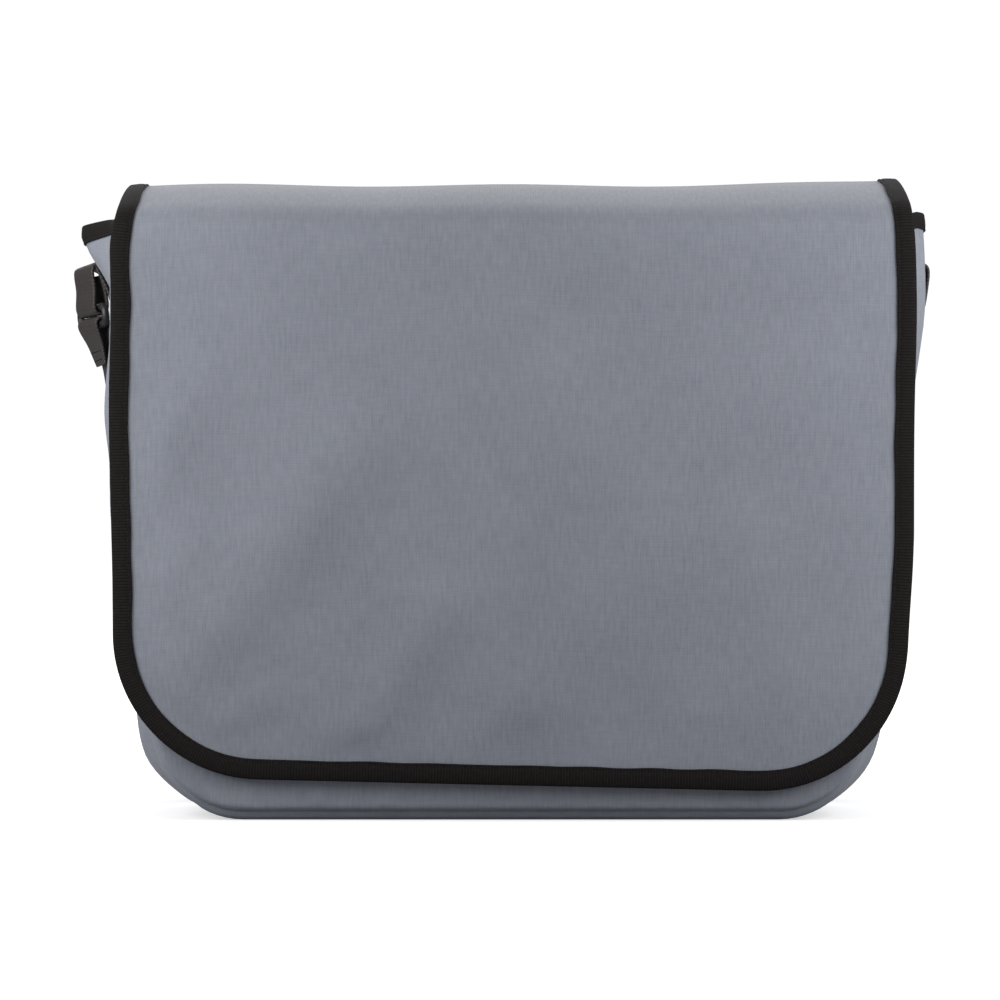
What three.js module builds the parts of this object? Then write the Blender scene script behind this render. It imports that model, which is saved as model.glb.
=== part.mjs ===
// Laptop bag: a soft cloth body with a wide front flap, both bound in black tape,
// carried by a webbing shoulder strap on two plastic rings.
// Millimetres, +Z up, the front faces -Y. The origin is the centre of the base, on the ground.
import * as THREE from "three";

const { degToRad, lerp, smoothstep } = THREE.MathUtils;

// Sheet materials and the clearance between sewn pieces
const cloth = 1.6;
const tape = 0.9;
const webbing = 1.5;
const webbingWidth = 38;
const gap = 0.35;

// Body: seam outline of the front and back panels, how far each wall swells, the share of the base
// that is flat and the height above which the front leans back
const body = {
  halfWidth: 202,
  halfDepth: 54,
  mouthHeight: 304,
  seamHeight: 4.5,
  baseHalf: 135,
  cornerRadius: 45,
  cornerTurn: degToRad(70),
  frontSwell: 7,
  backSwell: 4,
  sideSwell: 3,
  baseFlat: 0.88,
  leanHeight: 255,
};
const mouthTapeWidth = 10.8;
const mouthTapeGap = 0.95;
// The gusset's top front corners are trimmed down to the inner edge of the leaning front panel
const cornerTrim = { depth: 1, from: 0.6 };

// The gusset stands out below its mouth at each side: its reach, the heights over which it grows,
// its middle and half length between the back seam (-1) and the front seam (1), the lift of the mouth's
// edge there and the share beside each seam over which that lift grows
const mouthFlare = {
  left: { reach: 16.6, from: 262, to: 302, middle: 0, span: 1, lift: -1.8, liftEnds: 1 },
  right: { reach: 8.3, from: 190, to: 267, middle: 0.4, span: 0.6, lift: 3.8, liftEnds: 0.35 },
};

// Soft bulges of the gusset: side, height and share of the middle, half height, half share and reach
const gussetBulges = [
  { side: -1, height: 208, share: 0.58, tall: 30, wide: 0.24, reach: 3.6 },
  { side: -1, height: 35, share: 0.55, tall: 30, wide: 0.4, reach: 8.4 },
  { side: 1, height: 35, share: 0.55, tall: 30, wide: 0.4, reach: 7 },
];

// Flap: sewn to the back panel, rolled over the mouth and hanging down the front. Each side tapers
// towards the bottom and narrows towards the crest, and the cloth sways to one side below the roll
const flap = {
  halfWidth: 200.4,
  lapBottom: 290,
  crestY: 15,
  crestHeight: 324.7,
  rollHeight: 270,
  bottom: 19.7,
  cornerRadius: { left: 71, right: 73 },
  taper: { left: { reach: 2.5, from: 230, to: 90 }, right: { reach: 3.2, from: 150, to: 80 } },
  narrow: { left: 3.4, right: 0.8, from: 285, to: 312 },
  sway: { reach: 1.4, height: 258, tall: 40 },
  standoff: 3.2,
  bottomSlope: 0.0227,
  crestRise: 1.2,
  crestTilt: 1.7,
  crestWave: 0.7,
  crestWaveLength: 150,
  bindingFrom: 306,
};
const flapTapeWidth = 8.8;

// Roll of the flap from the top of its upright front to its crest: share of the way back and of the way up
const flapRoll = [
  { back: 0.015, up: 0.2 },
  { back: 0.05, up: 0.4 },
  { back: 0.1, up: 0.545 },
  { back: 0.205, up: 0.67 },
  { back: 0.385, up: 0.79 },
  { back: 0.63, up: 0.9 },
  { back: 0.84, up: 0.967 },
];

// Soft folds in the flap's front, each a ridge (or a valley, below zero) along a straight line
const flapFolds = [
  { fromX: -170, fromZ: 62, toX: -75, toZ: 190, spread: 22, height: 2.5 },
  { fromX: -80, fromZ: 38, toX: -35, toZ: 105, spread: 14, height: 1.5 },
  { fromX: -150, fromZ: 45, toX: -125, toZ: 62, spread: 10, height: 1.0 },
  { fromX: -190, fromZ: 85, toX: -165, toZ: 135, spread: 14, height: 1.2 },
  { fromX: -185, fromZ: 175, toX: -155, toZ: 222, spread: 18, height: 1.2 },
  { fromX: 16, fromZ: 222, toX: 8, toZ: 60, spread: 12, height: 1.0 },
  { fromX: -18, fromZ: 200, toX: 0, toZ: 160, spread: 7, height: -0.8 },
];
const foldFade = { from: 12, to: 32 };

// Strap fittings: the upper bar's distance from the middle of the bag, and its height on both sides,
// turns are about the upright and positive where the face turns to the front,
// lean and fall are how far the strap's sewn end and the strap itself lean in below the ring,
// arch is how far the outer leg of the tab's arch stands outside its loop round the bar
const ring = { width: 52, barSpacing: 8.5, cornerRadius: 4, wireRadius: 2.1 };
const fittings = {
  left: {
    side: -1, y: 24, upperBar: 218.8, tilt: 6, tailTurn: 0, ringTurn: 20.5,
    lean: 6, fall: 6.6, arch: 1.2,
  },
  right: {
    side: 1, y: 33, upperBar: 210.9, tilt: 4, tailTurn: -3.5, ringTurn: -2,
    lean: 3.7, fall: 3.7, arch: 2.6,
  },
};
const barHeight = 261;
const barLoop = ring.wireRadius + gap + webbing / 2 + 0.2;

// Way of each tab from its sewn tail to its ring: share of the way out from the gusset to the outer leg
// of its arch, height above the ring's upper bar, and share of the turn from the tail's to the ring's
const tabWay = [
  { out: 0, lift: -13, turned: 0 },
  { out: 0, lift: -6, turned: 0 },
  { out: 0.02, lift: 1, turned: 0 },
  { out: 0.3, lift: 14, turned: 0 },
  { out: 0.6, lift: 20.8, turned: 0.3 },
  { out: 0.82, lift: 22.4, turned: 0.75 },
  { out: 0.98, lift: 20.5, turned: 1 },
  { out: 0.93, lift: 9.5, turned: 1 },
];
const tailTop = 262;

// Ends of the webbing past each loop: distance from the bar across the loop, height from the bar,
// share of the ring's turn and, on the strap, share of its lean
const tabSewnEnd = [
  { reach: -2.8, lift: 6, turned: 1 },
  { reach: -1.4, lift: 11.5, turned: 1 },
  { reach: 0.3, lift: 16.5, turned: 1 },
];
const strapSewnEnd = [
  { reach: 1.4, lift: -21, turned: 0.6, leant: 0.9 },
  { reach: 2, lift: -11, turned: 0.8, leant: 0.5 },
];
const strapStart = [
  { reach: -0.9, lift: -10, turned: 0.8, leant: 0.7 },
  { reach: -0.6, lift: -24, turned: 0.55, leant: 1 },
];

// Way of the strap from each ring to the ground behind the bag: distance of its middle line from the middle
// of the bag, share of the way back from the ring to the depth where it lies, and height
const strapDepth = 96;
const strapWay = [
  { across: 207, back: 0.2, height: 158 },
  { across: 206, back: 0.42, height: 120 },
  { across: 200.5, back: 0.62, height: 80 },
  { across: 186.5, back: 0.79, height: 42 },
  { across: 160, back: 0.9, height: 16 },
  { across: 122, back: 0.965, height: 4 },
  { across: 80, back: 0.99, height: 1.2 },
  { across: 30, back: 1, height: 1.2 },
];

// Heights of the sections above the flanks, and the number of steps in each stretch
const uprightHeights = [190, 208, 230, 255, 266, 280, 292, body.mouthHeight];
const steps = {
  base: 8,
  corner: 7,
  flank: 5,
  panelColumns: 14,
  gussetColumns: [-1, -0.96, -0.88, -0.62, -0.35, -0.15, 0.1, 0.4, 0.7, 0.88, 0.96, 1],
  flapColumns: 22,
  lapRoll: 5,
  flapDrop: 9,
  flapCorner: 8,
  ribbon: 2,
  barTurn: 4,
};

const greyCloth = new THREE.MeshStandardMaterial({ color: 0x7b8087, roughness: 0.85, metalness: 0 });
const blackTape = new THREE.MeshStandardMaterial({ color: 0x1f1c1b, roughness: 0.9, metalness: 0 });
const blackWebbing = new THREE.MeshStandardMaterial({ color: 0x24211f, roughness: 0.85, metalness: 0 });
const blackPlastic = new THREE.MeshStandardMaterial({ color: 0x1a1a1b, roughness: 0.45, metalness: 0 });

const vector = (x, y, z) => new THREE.Vector3(x, y, z);
const range = (count) => Array.from({ length: count + 1 }, (_, k) => k / count);

// Half outline of the body

const cornerEnd = {
  x: body.baseHalf + body.cornerRadius * Math.sin(body.cornerTurn),
  z: body.seamHeight + body.cornerRadius * (1 - Math.cos(body.cornerTurn)),
};
const flankRadius = (body.halfWidth - cornerEnd.x) / (1 - Math.sin(body.cornerTurn));
const flankTop = cornerEnd.z + flankRadius * Math.cos(body.cornerTurn);

// Stations up one side, from the end of the flat base to the mouth, with the turn of each outward normal
function sideStations() {
  const stations = range(steps.corner).map((share) => {
    const turn = share * body.cornerTurn;
    const x = body.baseHalf + body.cornerRadius * Math.sin(turn);
    const z = body.seamHeight + body.cornerRadius * (1 - Math.cos(turn));
    return { x, z, turn };
  });
  for (const share of range(steps.flank).slice(1)) {
    const turn = lerp(body.cornerTurn, Math.PI / 2, share);
    const x = body.halfWidth - flankRadius * (1 - Math.sin(turn));
    const z = flankTop - flankRadius * Math.cos(turn);
    stations.push({ x, z, turn });
  }
  uprightHeights.forEach((z) => stations.push({ x: body.halfWidth, z, turn: Math.PI / 2 }));
  return stations;
}

function outlineHalf(z) {
  if (z >= flankTop) return body.halfWidth;
  if (z >= cornerEnd.z) {
    return body.halfWidth - flankRadius + Math.sqrt(flankRadius ** 2 - (flankTop - z) ** 2);
  }
  const below = Math.min(body.seamHeight + body.cornerRadius - z, body.cornerRadius);
  return body.baseHalf + Math.sqrt(body.cornerRadius ** 2 - below ** 2);
}

// Front and back faces

function swellShare(x, z) {
  const across = Math.max(0, 1 - (x / outlineHalf(z)) ** 2);
  const up = THREE.MathUtils.clamp((z - body.seamHeight) / (body.mouthHeight - body.seamHeight), 0, 1);
  return across * Math.sin(Math.PI * up) ** 0.7;
}

// Outer face of the front, a distance in front of the front panel: upright below, leaning back above
function frontY(x, z, standoff) {
  const swelled = body.frontSwell * swellShare(x, Math.min(z, body.leanHeight));
  const reach = flap.crestY + body.halfDepth + swelled + standoff;
  if (z <= body.leanHeight) return flap.crestY - reach;
  const leanRise = flap.crestHeight - body.leanHeight - flap.standoff - cloth + standoff;
  return flap.crestY - reach * Math.sqrt(1 - ((z - body.leanHeight) / leanRise) ** 2);
}

function backY(x, z) {
  return body.halfDepth + body.backSwell * swellShare(x, z);
}

// Gusset: share runs from -1 at the back seam to 1 at the front seam

function gussetEdges(z) {
  const probe = 0.5;
  const lean = (frontY(body.halfWidth, z, 0) - frontY(body.halfWidth, z - probe, 0)) / probe;
  const front = frontY(body.halfWidth, z, 0) + (cloth + gap) * Math.hypot(1, lean);
  return { front, back: body.halfDepth - cloth - gap };
}

// A soft hump from -1 to 1 that leaves both ends level
const levelEnds = 0.06;
const bow = (share) => smoothstep(1 - Math.abs(share), levelEnds, 1);

function bulgeOut(x, z, share) {
  const level = smoothstep(1 - Math.abs(share), levelEnds, 5 * levelEnds);
  return gussetBulges.reduce((sum, bulge) => {
    const up = (z - bulge.height) / bulge.tall;
    const along = (share - bulge.share) / bulge.wide;
    const reach = bulge.reach * level * Math.exp(-(up ** 2) - along ** 2);
    return Math.sign(x) === bulge.side ? sum + reach : sum;
  }, 0);
}

function gussetPoint({ x, z, turn }, share) {
  const flare = x < 0 ? mouthFlare.left : mouthFlare.right;
  const flareBow = bow((share - flare.middle) / flare.span);
  const flared = flare.reach * smoothstep(z, flare.from, flare.to) * flareBow;
  const swelled = body.sideSwell * Math.sin(turn) ** 2 * bow(share);
  const flat = Math.sqrt(1 - Math.max(0, (Math.abs(share) - body.baseFlat) / (1 - body.baseFlat)) ** 2);
  const bulged = bulgeOut(x, z, share) * Math.sin(turn) ** 2;
  const out = flared + swelled + bulged + body.seamHeight * flat * Math.cos(turn) ** 2;
  const { front, back } = gussetEdges(z);
  const y = lerp(back, front, (share + 1) / 2);
  const liftShare = smoothstep(1 - Math.abs(share), levelEnds, flare.liftEnds);
  const lift = flare.lift * liftShare * smoothstep(z, flare.from, body.mouthHeight);
  const trim = z < body.mouthHeight ? 0 : cornerTrim.depth * smoothstep(share, cornerTrim.from, 1);
  return vector(x + Math.sign(x) * Math.sin(turn) * out, y, z - Math.cos(turn) * out + lift - trim);
}

// Flap

const sideOf = (x) => (x < 0 ? "left" : "right");

function foldHeight(x, z) {
  const radius = flap.cornerRadius[sideOf(x)];
  const straightHalf = flap.halfWidth - radius;
  const cornerZ = flap.bottom + radius;
  const inCorner = Math.abs(x) > straightHalf && z < cornerZ;
  const toEdge = inCorner
    ? radius - Math.hypot(Math.abs(x) - straightHalf, cornerZ - z)
    : Math.min(flap.halfWidth - Math.abs(x), z - flap.bottom);
  const fade = smoothstep(toEdge, foldFade.from, foldFade.to);
  return flapFolds.reduce((sum, fold) => {
    const from = new THREE.Vector2(fold.fromX, fold.fromZ);
    const way = new THREE.Vector2(fold.toX, fold.toZ).sub(from);
    const offset = new THREE.Vector2(x, z).sub(from);
    const along = THREE.MathUtils.clamp(offset.dot(way) / way.lengthSq(), 0, 1);
    const away = offset.addScaledVector(way, -along).length();
    return sum + fold.height * fade * Math.exp(-((away / fold.spread) ** 2));
  }, 0);
}

function crestAt(x) {
  const share = x / flap.halfWidth;
  const ends = flap.crestRise * share ** 2 + flap.crestTilt * share ** 5;
  return flap.crestHeight + ends + flap.crestWave * Math.cos((2 * Math.PI * x) / flap.crestWaveLength);
}

// Distance across the flap of a share of its width, at a height
function flapX(share, z) {
  const hand = sideOf(share);
  const { narrow, sway } = flap;
  const taper = flap.taper[hand];
  const tapered = taper.reach * (1 - smoothstep(z, taper.to, taper.from));
  const narrowed = narrow[hand] * smoothstep(z, narrow.from, narrow.to);
  const swayed = sway.reach * Math.exp(-(((z - sway.height) / sway.tall) ** 2));
  return share * (flap.halfWidth - tapered - narrowed) + swayed;
}

// Rows from the lap on the back panel, over the crest and down the front: a place for each share across
function flapRows() {
  const rows = [];
  const standoff = flap.standoff + cloth;
  const lapY = (x, z) => backY(x, z) + gap + cloth;
  const faceY = (x, z) => frontY(x, Math.min(z, body.leanHeight), standoff) - foldHeight(x, z);
  const addLevelRow = (level, place) => rows.push((share) => place(flapX(share, level)));
  [flap.lapBottom, body.mouthHeight].forEach((z) => addLevelRow(z, (x) => vector(x, lapY(x, z), z)));
  for (const share of range(steps.lapRoll).slice(1)) {
    const turn = (share * Math.PI) / 2;
    addLevelRow(lerp(body.mouthHeight, flap.crestHeight, Math.sin(turn)), (x) => {
      const y = lerp(flap.crestY, lapY(x, body.mouthHeight), Math.cos(turn));
      return vector(x, y, lerp(body.mouthHeight, crestAt(x), Math.sin(turn)));
    });
  }
  for (const { back, up } of flapRoll.toReversed()) {
    addLevelRow(lerp(flap.rollHeight, flap.crestHeight, up), (x) => {
      const y = lerp(faceY(x, flap.rollHeight), flap.crestY, back);
      return vector(x, y, lerp(flap.rollHeight, crestAt(x), up));
    });
  }
  const cornerTop = (share) => {
    const { left, right } = flap.cornerRadius;
    return flap.bottom + lerp(left, right, (share + 1) / 2);
  };
  const addDropRow = (levelAt, inset) => rows.push((share) => {
    const level = levelAt(share);
    const x = flapX(share, level) - share * flap.cornerRadius[sideOf(share)] * inset;
    const hung = (flap.rollHeight - level) / (flap.rollHeight - flap.bottom);
    const z = level - flap.bottomSlope * x * hung;
    return vector(x, faceY(x, z), z);
  });
  for (const way of range(steps.flapDrop)) {
    addDropRow((share) => lerp(flap.rollHeight, cornerTop(share), way), 0);
  }
  for (const way of range(steps.flapCorner).slice(1)) {
    const turn = (way * Math.PI) / 2;
    addDropRow((share) => lerp(cornerTop(share), flap.bottom, Math.sin(turn)), 1 - Math.cos(turn));
  }
  return rows;
}

// Columns across the flap, with one narrow strip under the tape at each side
function flapColumns() {
  const strip = 1 - (flapTapeWidth + 2) / flap.halfWidth;
  const inner = range(steps.flapColumns - 2).map((share) => lerp(-strip, strip, share));
  return [-1, ...inner, 1];
}

// Walls: grids of points on the outer face, and the same points moved through the thickness

function gridNormal(grid, i, j) {
  const rowAfter = grid[Math.min(i + 1, grid.length - 1)][j];
  const rowBefore = grid[Math.max(i - 1, 0)][j];
  const columnAfter = grid[i][Math.min(j + 1, grid[i].length - 1)];
  const columnBefore = grid[i][Math.max(j - 1, 0)];
  const along = rowAfter.clone().sub(rowBefore);
  return along.cross(columnAfter.clone().sub(columnBefore)).normalize();
}

function clothWall(outer) {
  const moved = (point, i, j) => point.clone().addScaledVector(gridNormal(outer, i, j), -cloth);
  return outer.map((row, i) => ({ outer: row, inner: row.map((point, j) => moved(point, i, j)) }));
}

// One closed solid from a row of thin sections, each two lines of points on the two faces of a sheet
function loftSheet(sections) {
  const count = sections[0].outer.length;
  const last = sections.length - 1;
  const index = [];
  const quad = (a, b, c, d) => index.push(a, b, c, a, c, d);
  const outer = (i, j) => i * 2 * count + j;
  const inner = (i, j) => outer(i, j) + count;
  for (let i = 0; i < last; i++) {
    for (let j = 0; j + 1 < count; j++) {
      quad(outer(i, j), outer(i + 1, j), outer(i + 1, j + 1), outer(i, j + 1));
      quad(inner(i, j), inner(i, j + 1), inner(i + 1, j + 1), inner(i + 1, j));
    }
    quad(outer(i, 0), inner(i, 0), inner(i + 1, 0), outer(i + 1, 0));
    quad(outer(i, count - 1), outer(i + 1, count - 1), inner(i + 1, count - 1), inner(i, count - 1));
  }
  for (let j = 0; j + 1 < count; j++) {
    quad(outer(0, j), outer(0, j + 1), inner(0, j + 1), inner(0, j));
    quad(outer(last, j), inner(last, j), inner(last, j + 1), outer(last, j + 1));
  }
  return indexedGeometry(sections.flatMap((section) => [...section.outer, ...section.inner]), index);
}

function indexedGeometry(points, index) {
  const geometry = new THREE.BufferGeometry();
  const places = points.flatMap((point) => point.toArray());
  geometry.setAttribute("position", new THREE.Float32BufferAttribute(places, 3));
  geometry.setIndex(index);
  geometry.computeVertexNormals();
  return geometry;
}

// Tape folded over an edge: the section's legs run from the two faces' lower points to their edge points
function foldedTape({ outerLow, outerEdge, innerEdge, innerLow, out, lowOut, over }, clearance) {
  const line = (reach) => [
    outerLow.clone().addScaledVector(lowOut, reach),
    outerEdge.clone().addScaledVector(out, reach).addScaledVector(over, reach),
    innerEdge.clone().addScaledVector(out, -reach).addScaledVector(over, reach),
    innerLow.clone().addScaledVector(lowOut, -reach),
  ];
  return { outer: line(clearance + tape), inner: line(clearance) };
}

// Flat webbing along a smooth line through points, each with the direction of its width
function ribbon(points, widths) {
  const line = new THREE.CatmullRomCurve3(points);
  const widthLine = new THREE.CatmullRomCurve3(widths);
  const sections = range((points.length - 1) * steps.ribbon).map((t) => {
    const centre = line.getPoint(t);
    const along = line.getTangent(t);
    const across = widthLine.getPoint(t);
    across.addScaledVector(along, -across.dot(along)).setLength(webbingWidth / 2);
    const out = along.clone().cross(across).setLength(webbing / 2);
    const edges = (face) => [face.clone().sub(across), face.clone().add(across)];
    return { outer: edges(centre.clone().add(out)), inner: edges(centre.clone().sub(out)) };
  });
  return loftSheet(sections);
}

// Closed loop of round wire on a rounded rectangle in its own XY plane
function wireRing({ width, barSpacing, cornerRadius, wireRadius }) {
  const cornerSteps = 4;
  const sides = 8;
  const points = [];
  for (let corner = 0; corner < 4; corner++) {
    const signX = corner === 0 || corner === 3 ? 1 : -1;
    const signY = corner < 2 ? 1 : -1;
    const centre = vector(signX * (width / 2 - cornerRadius), signY * (barSpacing / 2 - cornerRadius), 0);
    for (const share of range(cornerSteps)) {
      const turn = ((corner + share) * Math.PI) / 2;
      const radial = vector(Math.cos(turn), Math.sin(turn), 0);
      for (let side = 0; side < sides; side++) {
        const round = (2 * Math.PI * side) / sides;
        const point = centre.clone().addScaledVector(radial, cornerRadius + wireRadius * Math.cos(round));
        points.push(point.setZ(wireRadius * Math.sin(round)));
      }
    }
  }
  const rows = points.length / sides;
  const at = (i, j) => (i % rows) * sides + (j % sides);
  const index = [];
  for (let i = 0; i < rows; i++) {
    for (let j = 0; j < sides; j++) {
      index.push(at(i, j), at(i + 1, j), at(i + 1, j + 1), at(i, j), at(i + 1, j + 1), at(i, j + 1));
    }
  }
  return indexedGeometry(points, index);
}

// Body pieces

const sides = sideStations();
const mirrored = ({ x, z, turn }) => ({ x: -x, z, turn });
const baseStations = range(steps.base).map((share) => {
  return { x: lerp(-body.baseHalf, body.baseHalf, share), z: body.seamHeight, turn: 0 };
});

function panelWall(columnShares, faceY) {
  const place = (x, z) => vector(x, faceY(x, z), z);
  return clothWall(sides.map(({ x, z }) => columnShares.map((share) => place(share * x, z))));
}

function gussetWall() {
  const stations = [...sides.map(mirrored).reverse(), ...baseStations.slice(1, -1), ...sides];
  const row = (station) => steps.gussetColumns.map((share) => gussetPoint(station, share));
  return clothWall(stations.map(row));
}

const leftToRight = range(steps.panelColumns).map((share) => lerp(-1, 1, share));
const rightToLeft = leftToRight.map((share) => -share);
const frontWall = panelWall(rightToLeft, (x, z) => frontY(x, z, 0));
const backWall = panelWall(leftToRight, backY);
const sideWall = gussetWall();
const flapWall = clothWall(flapRows().map((place) => flapColumns().map(place)));

// The mouth's tape runs along the left gusset's top, the front panel's top and the right gusset's top
function mouthTape() {
  const depth = mouthTapeWidth / (body.mouthHeight - uprightHeights.at(-2));
  const edgeOf = (top, below, j) => {
    const outerEdge = top.outer[j];
    const innerEdge = top.inner[j];
    const outerLow = outerEdge.clone().lerp(below.outer[j], depth);
    const innerLow = innerEdge.clone().lerp(below.inner[j], depth);
    const out = outerEdge.clone().sub(innerEdge).normalize();
    const lowOut = outerLow.clone().sub(innerLow).normalize();
    const over = outerEdge.clone().sub(outerLow).normalize();
    return { outerEdge, innerEdge, outerLow, innerLow, out, lowOut, over };
  };
  const cornerOf = (gussetEnd, panelEnd) => {
    const out = gussetEnd.out.clone().add(panelEnd.out).divideScalar(1 + gussetEnd.out.dot(panelEnd.out));
    const innerEdge = panelEnd.outerEdge.clone().addScaledVector(out, -cloth);
    const innerLow = panelEnd.outerLow.clone().addScaledVector(out, -cloth);
    return { ...panelEnd, innerEdge, innerLow, out, lowOut: out };
  };
  const gussetCount = steps.gussetColumns.length;
  const gussetColumns = [...Array(gussetCount).keys()];
  const left = gussetColumns.map((j) => edgeOf(sideWall[0], sideWall[1], j));
  const right = gussetColumns.map((j) => edgeOf(sideWall.at(-1), sideWall.at(-2), j)).reverse();
  const front = rightToLeft.map((_, j) => edgeOf(frontWall.at(-1), frontWall.at(-2), j)).reverse();
  const run = [
    ...left.slice(0, -1),
    cornerOf(left.at(-1), front[0]),
    ...front.slice(1, -1),
    cornerOf(right[0], front.at(-1)),
    ...right.slice(1),
  ];
  return loftSheet(run.map((section) => foldedTape(section, mouthTapeGap)));
}

// The flap's tape runs down its right side, along its front edge and up its left side
function flapTape() {
  const firstRow = flapWall.findIndex(({ outer }) => outer[0].z > flap.bindingFrom);
  const rows = flapWall.slice(firstRow);
  const ends = (row, j) => ({ outerEdge: row.outer.at(j), innerEdge: row.inner.at(j) });
  const lastRow = rows.at(-1);
  const run = [
    ...rows.map((row) => ends(row, -1)),
    ...lastRow.outer.map((_, j) => ends(lastRow, j)).slice(1, -1).reverse(),
    ...rows.map((row) => ends(row, 0)).reverse(),
  ];
  return loftSheet(run.map(({ outerEdge, innerEdge }, k) => {
    const before = run[Math.max(k - 1, 0)].outerEdge;
    const after = run[Math.min(k + 1, run.length - 1)].outerEdge;
    const out = outerEdge.clone().sub(innerEdge).normalize();
    const over = after.clone().sub(before).cross(out).normalize().negate();
    const outerLow = outerEdge.clone().addScaledVector(over, -flapTapeWidth);
    const innerLow = innerEdge.clone().addScaledVector(over, -flapTapeWidth);
    return foldedTape({ outerLow, outerEdge, innerEdge, innerLow, out, lowOut: out, over }, gap);
  }));
}

// Strap fittings: a place beside the bag from a reach along the fitting's outward direction

function fittingFrame(fitting, turnDegrees) {
  const turn = degToRad(turnDegrees);
  const out = vector(fitting.side * Math.cos(turn), -Math.sin(turn), 0);
  const across = vector(fitting.side * Math.sin(turn), Math.cos(turn), 0);
  return { out, across };
}

function fittingRun(fitting, anchorReach, rows) {
  const points = [];
  const widths = [];
  for (const { reach, height, turn } of rows) {
    const { out, across } = fittingFrame(fitting, turn);
    points.push(vector(fitting.side * anchorReach, fitting.y, height).addScaledVector(out, reach));
    widths.push(across);
  }
  return { points, widths };
}

// Half a turn of webbing round a bar, from its outer side by way of its lower (-1) or upper (1) side
function barTurn(height, way, turn) {
  return range(steps.barTurn).map((share) => {
    const round = share * Math.PI;
    return { reach: barLoop * Math.cos(round), height: height + way * barLoop * Math.sin(round), turn };
  });
}

function pastBar(rows, height, ringTurn, lean) {
  return rows.map(({ reach, lift, turned, leant = 0 }) => {
    return { reach: reach - lean * leant, height: height + lift, turn: turned * ringTurn };
  });
}

// The sewn tail lies on the gusset, the tab arches out and hangs round the ring's upper bar
function tabRibbon(fitting) {
  const { upperBar, tailTurn, ringTurn, arch } = fitting;
  const onGusset = tailReach(fitting) - upperBar;
  const way = tabWay.map(({ out, lift, turned }) => ({
    reach: lerp(onGusset, barLoop + arch, out),
    height: barHeight + lift,
    turn: lerp(tailTurn, ringTurn, turned),
  }));
  const loop = barTurn(barHeight, -1, ringTurn);
  const { points, widths } = fittingRun(fitting, upperBar, [
    ...way,
    ...loop,
    ...pastBar(tabSewnEnd, barHeight, ringTurn, 0),
  ]);
  return ribbon(points, widths);
}

// One end of the strap: the sewn-back end outside, over the ring's lower bar and down the inside
function strapEnd(fitting) {
  const { upperBar, ringTurn, lean, fall } = fitting;
  const tilt = degToRad(fitting.tilt);
  const reach = upperBar - ring.barSpacing * Math.sin(tilt);
  const height = barHeight - ring.barSpacing * Math.cos(tilt);
  return fittingRun(fitting, reach, [
    ...pastBar(strapSewnEnd, height, ringTurn, lean),
    ...barTurn(height, 1, ringTurn),
    ...pastBar(strapStart, height, ringTurn, fall),
  ]);
}

function strapRibbon() {
  const left = strapEnd(fittings.left);
  const right = strapEnd(fittings.right);
  const across = vector(0, 1, 0);
  const way = ({ side, y }) => strapWay.map((place) => {
    return vector(side * place.across, lerp(y, strapDepth, place.back), place.height);
  });
  const behind = [...way(fittings.left), ...way(fittings.right).reverse()];
  const points = [...left.points, ...behind, ...right.points.reverse()];
  return ribbon(points, [...left.widths, ...behind.map(() => across), ...right.widths.reverse()]);
}

// The tail's distance from the middle: on the gusset's face at the tail's own depth
function tailReach({ side, y, tailTurn }) {
  const station = { x: side * body.halfWidth, z: tailTop, turn: Math.PI / 2 };
  const { front, back } = gussetEdges(tailTop);
  const half = (webbingWidth / 2) * Math.cos(degToRad(tailTurn));
  const clear = (offset) => {
    const share = (2 * (y + offset - back)) / (front - back) - 1;
    const turned = offset * Math.tan(degToRad(tailTurn));
    return Math.abs(gussetPoint(station, THREE.MathUtils.clamp(share, -1, 1)).x) - turned;
  };
  const reaches = range(steps.gussetColumns.length).map((share) => clear(lerp(-half, half, share)));
  return Math.max(...reaches) + (gap + webbing / 2) / Math.cos(degToRad(tailTurn));
}

function ringMesh(name, fitting) {
  const { out, across } = fittingFrame(fitting, fitting.ringTurn);
  const { side, y, upperBar } = fitting;
  const tilt = degToRad(fitting.tilt);
  const up = vector(0, 0, Math.cos(tilt)).addScaledVector(out, Math.sin(tilt));
  const mesh = namedMesh(name, wireRing(ring), blackPlastic);
  const facing = across.clone().cross(up);
  mesh.setRotationFromMatrix(new THREE.Matrix4().makeBasis(across, up, facing));
  mesh.position.set(side * upperBar, y, barHeight).addScaledVector(up, -ring.barSpacing / 2);
  return mesh;
}

function namedMesh(name, geometry, material) {
  const mesh = new THREE.Mesh(geometry, material);
  mesh.name = name;
  return mesh;
}

const bag = new THREE.Group();
bag.add(
  namedMesh("front_panel", loftSheet(frontWall), greyCloth),
  namedMesh("back_panel", loftSheet(backWall), greyCloth),
  namedMesh("gusset", loftSheet(sideWall), greyCloth),
  namedMesh("mouth_binding", mouthTape(), blackTape),
  namedMesh("flap", loftSheet(flapWall), greyCloth),
  namedMesh("flap_binding", flapTape(), blackTape),
);

const strap = new THREE.Group();
for (const [hand, fitting] of Object.entries(fittings)) {
  strap.add(namedMesh(`strap_tab_${hand}`, tabRibbon(fitting), blackWebbing));
  strap.add(ringMesh(`strap_ring_${hand}`, fitting));
}
strap.add(namedMesh("shoulder_strap", strapRibbon(), blackWebbing));
bag.add(strap);

export default bag;
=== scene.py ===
import math
from types import SimpleNamespace

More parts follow.
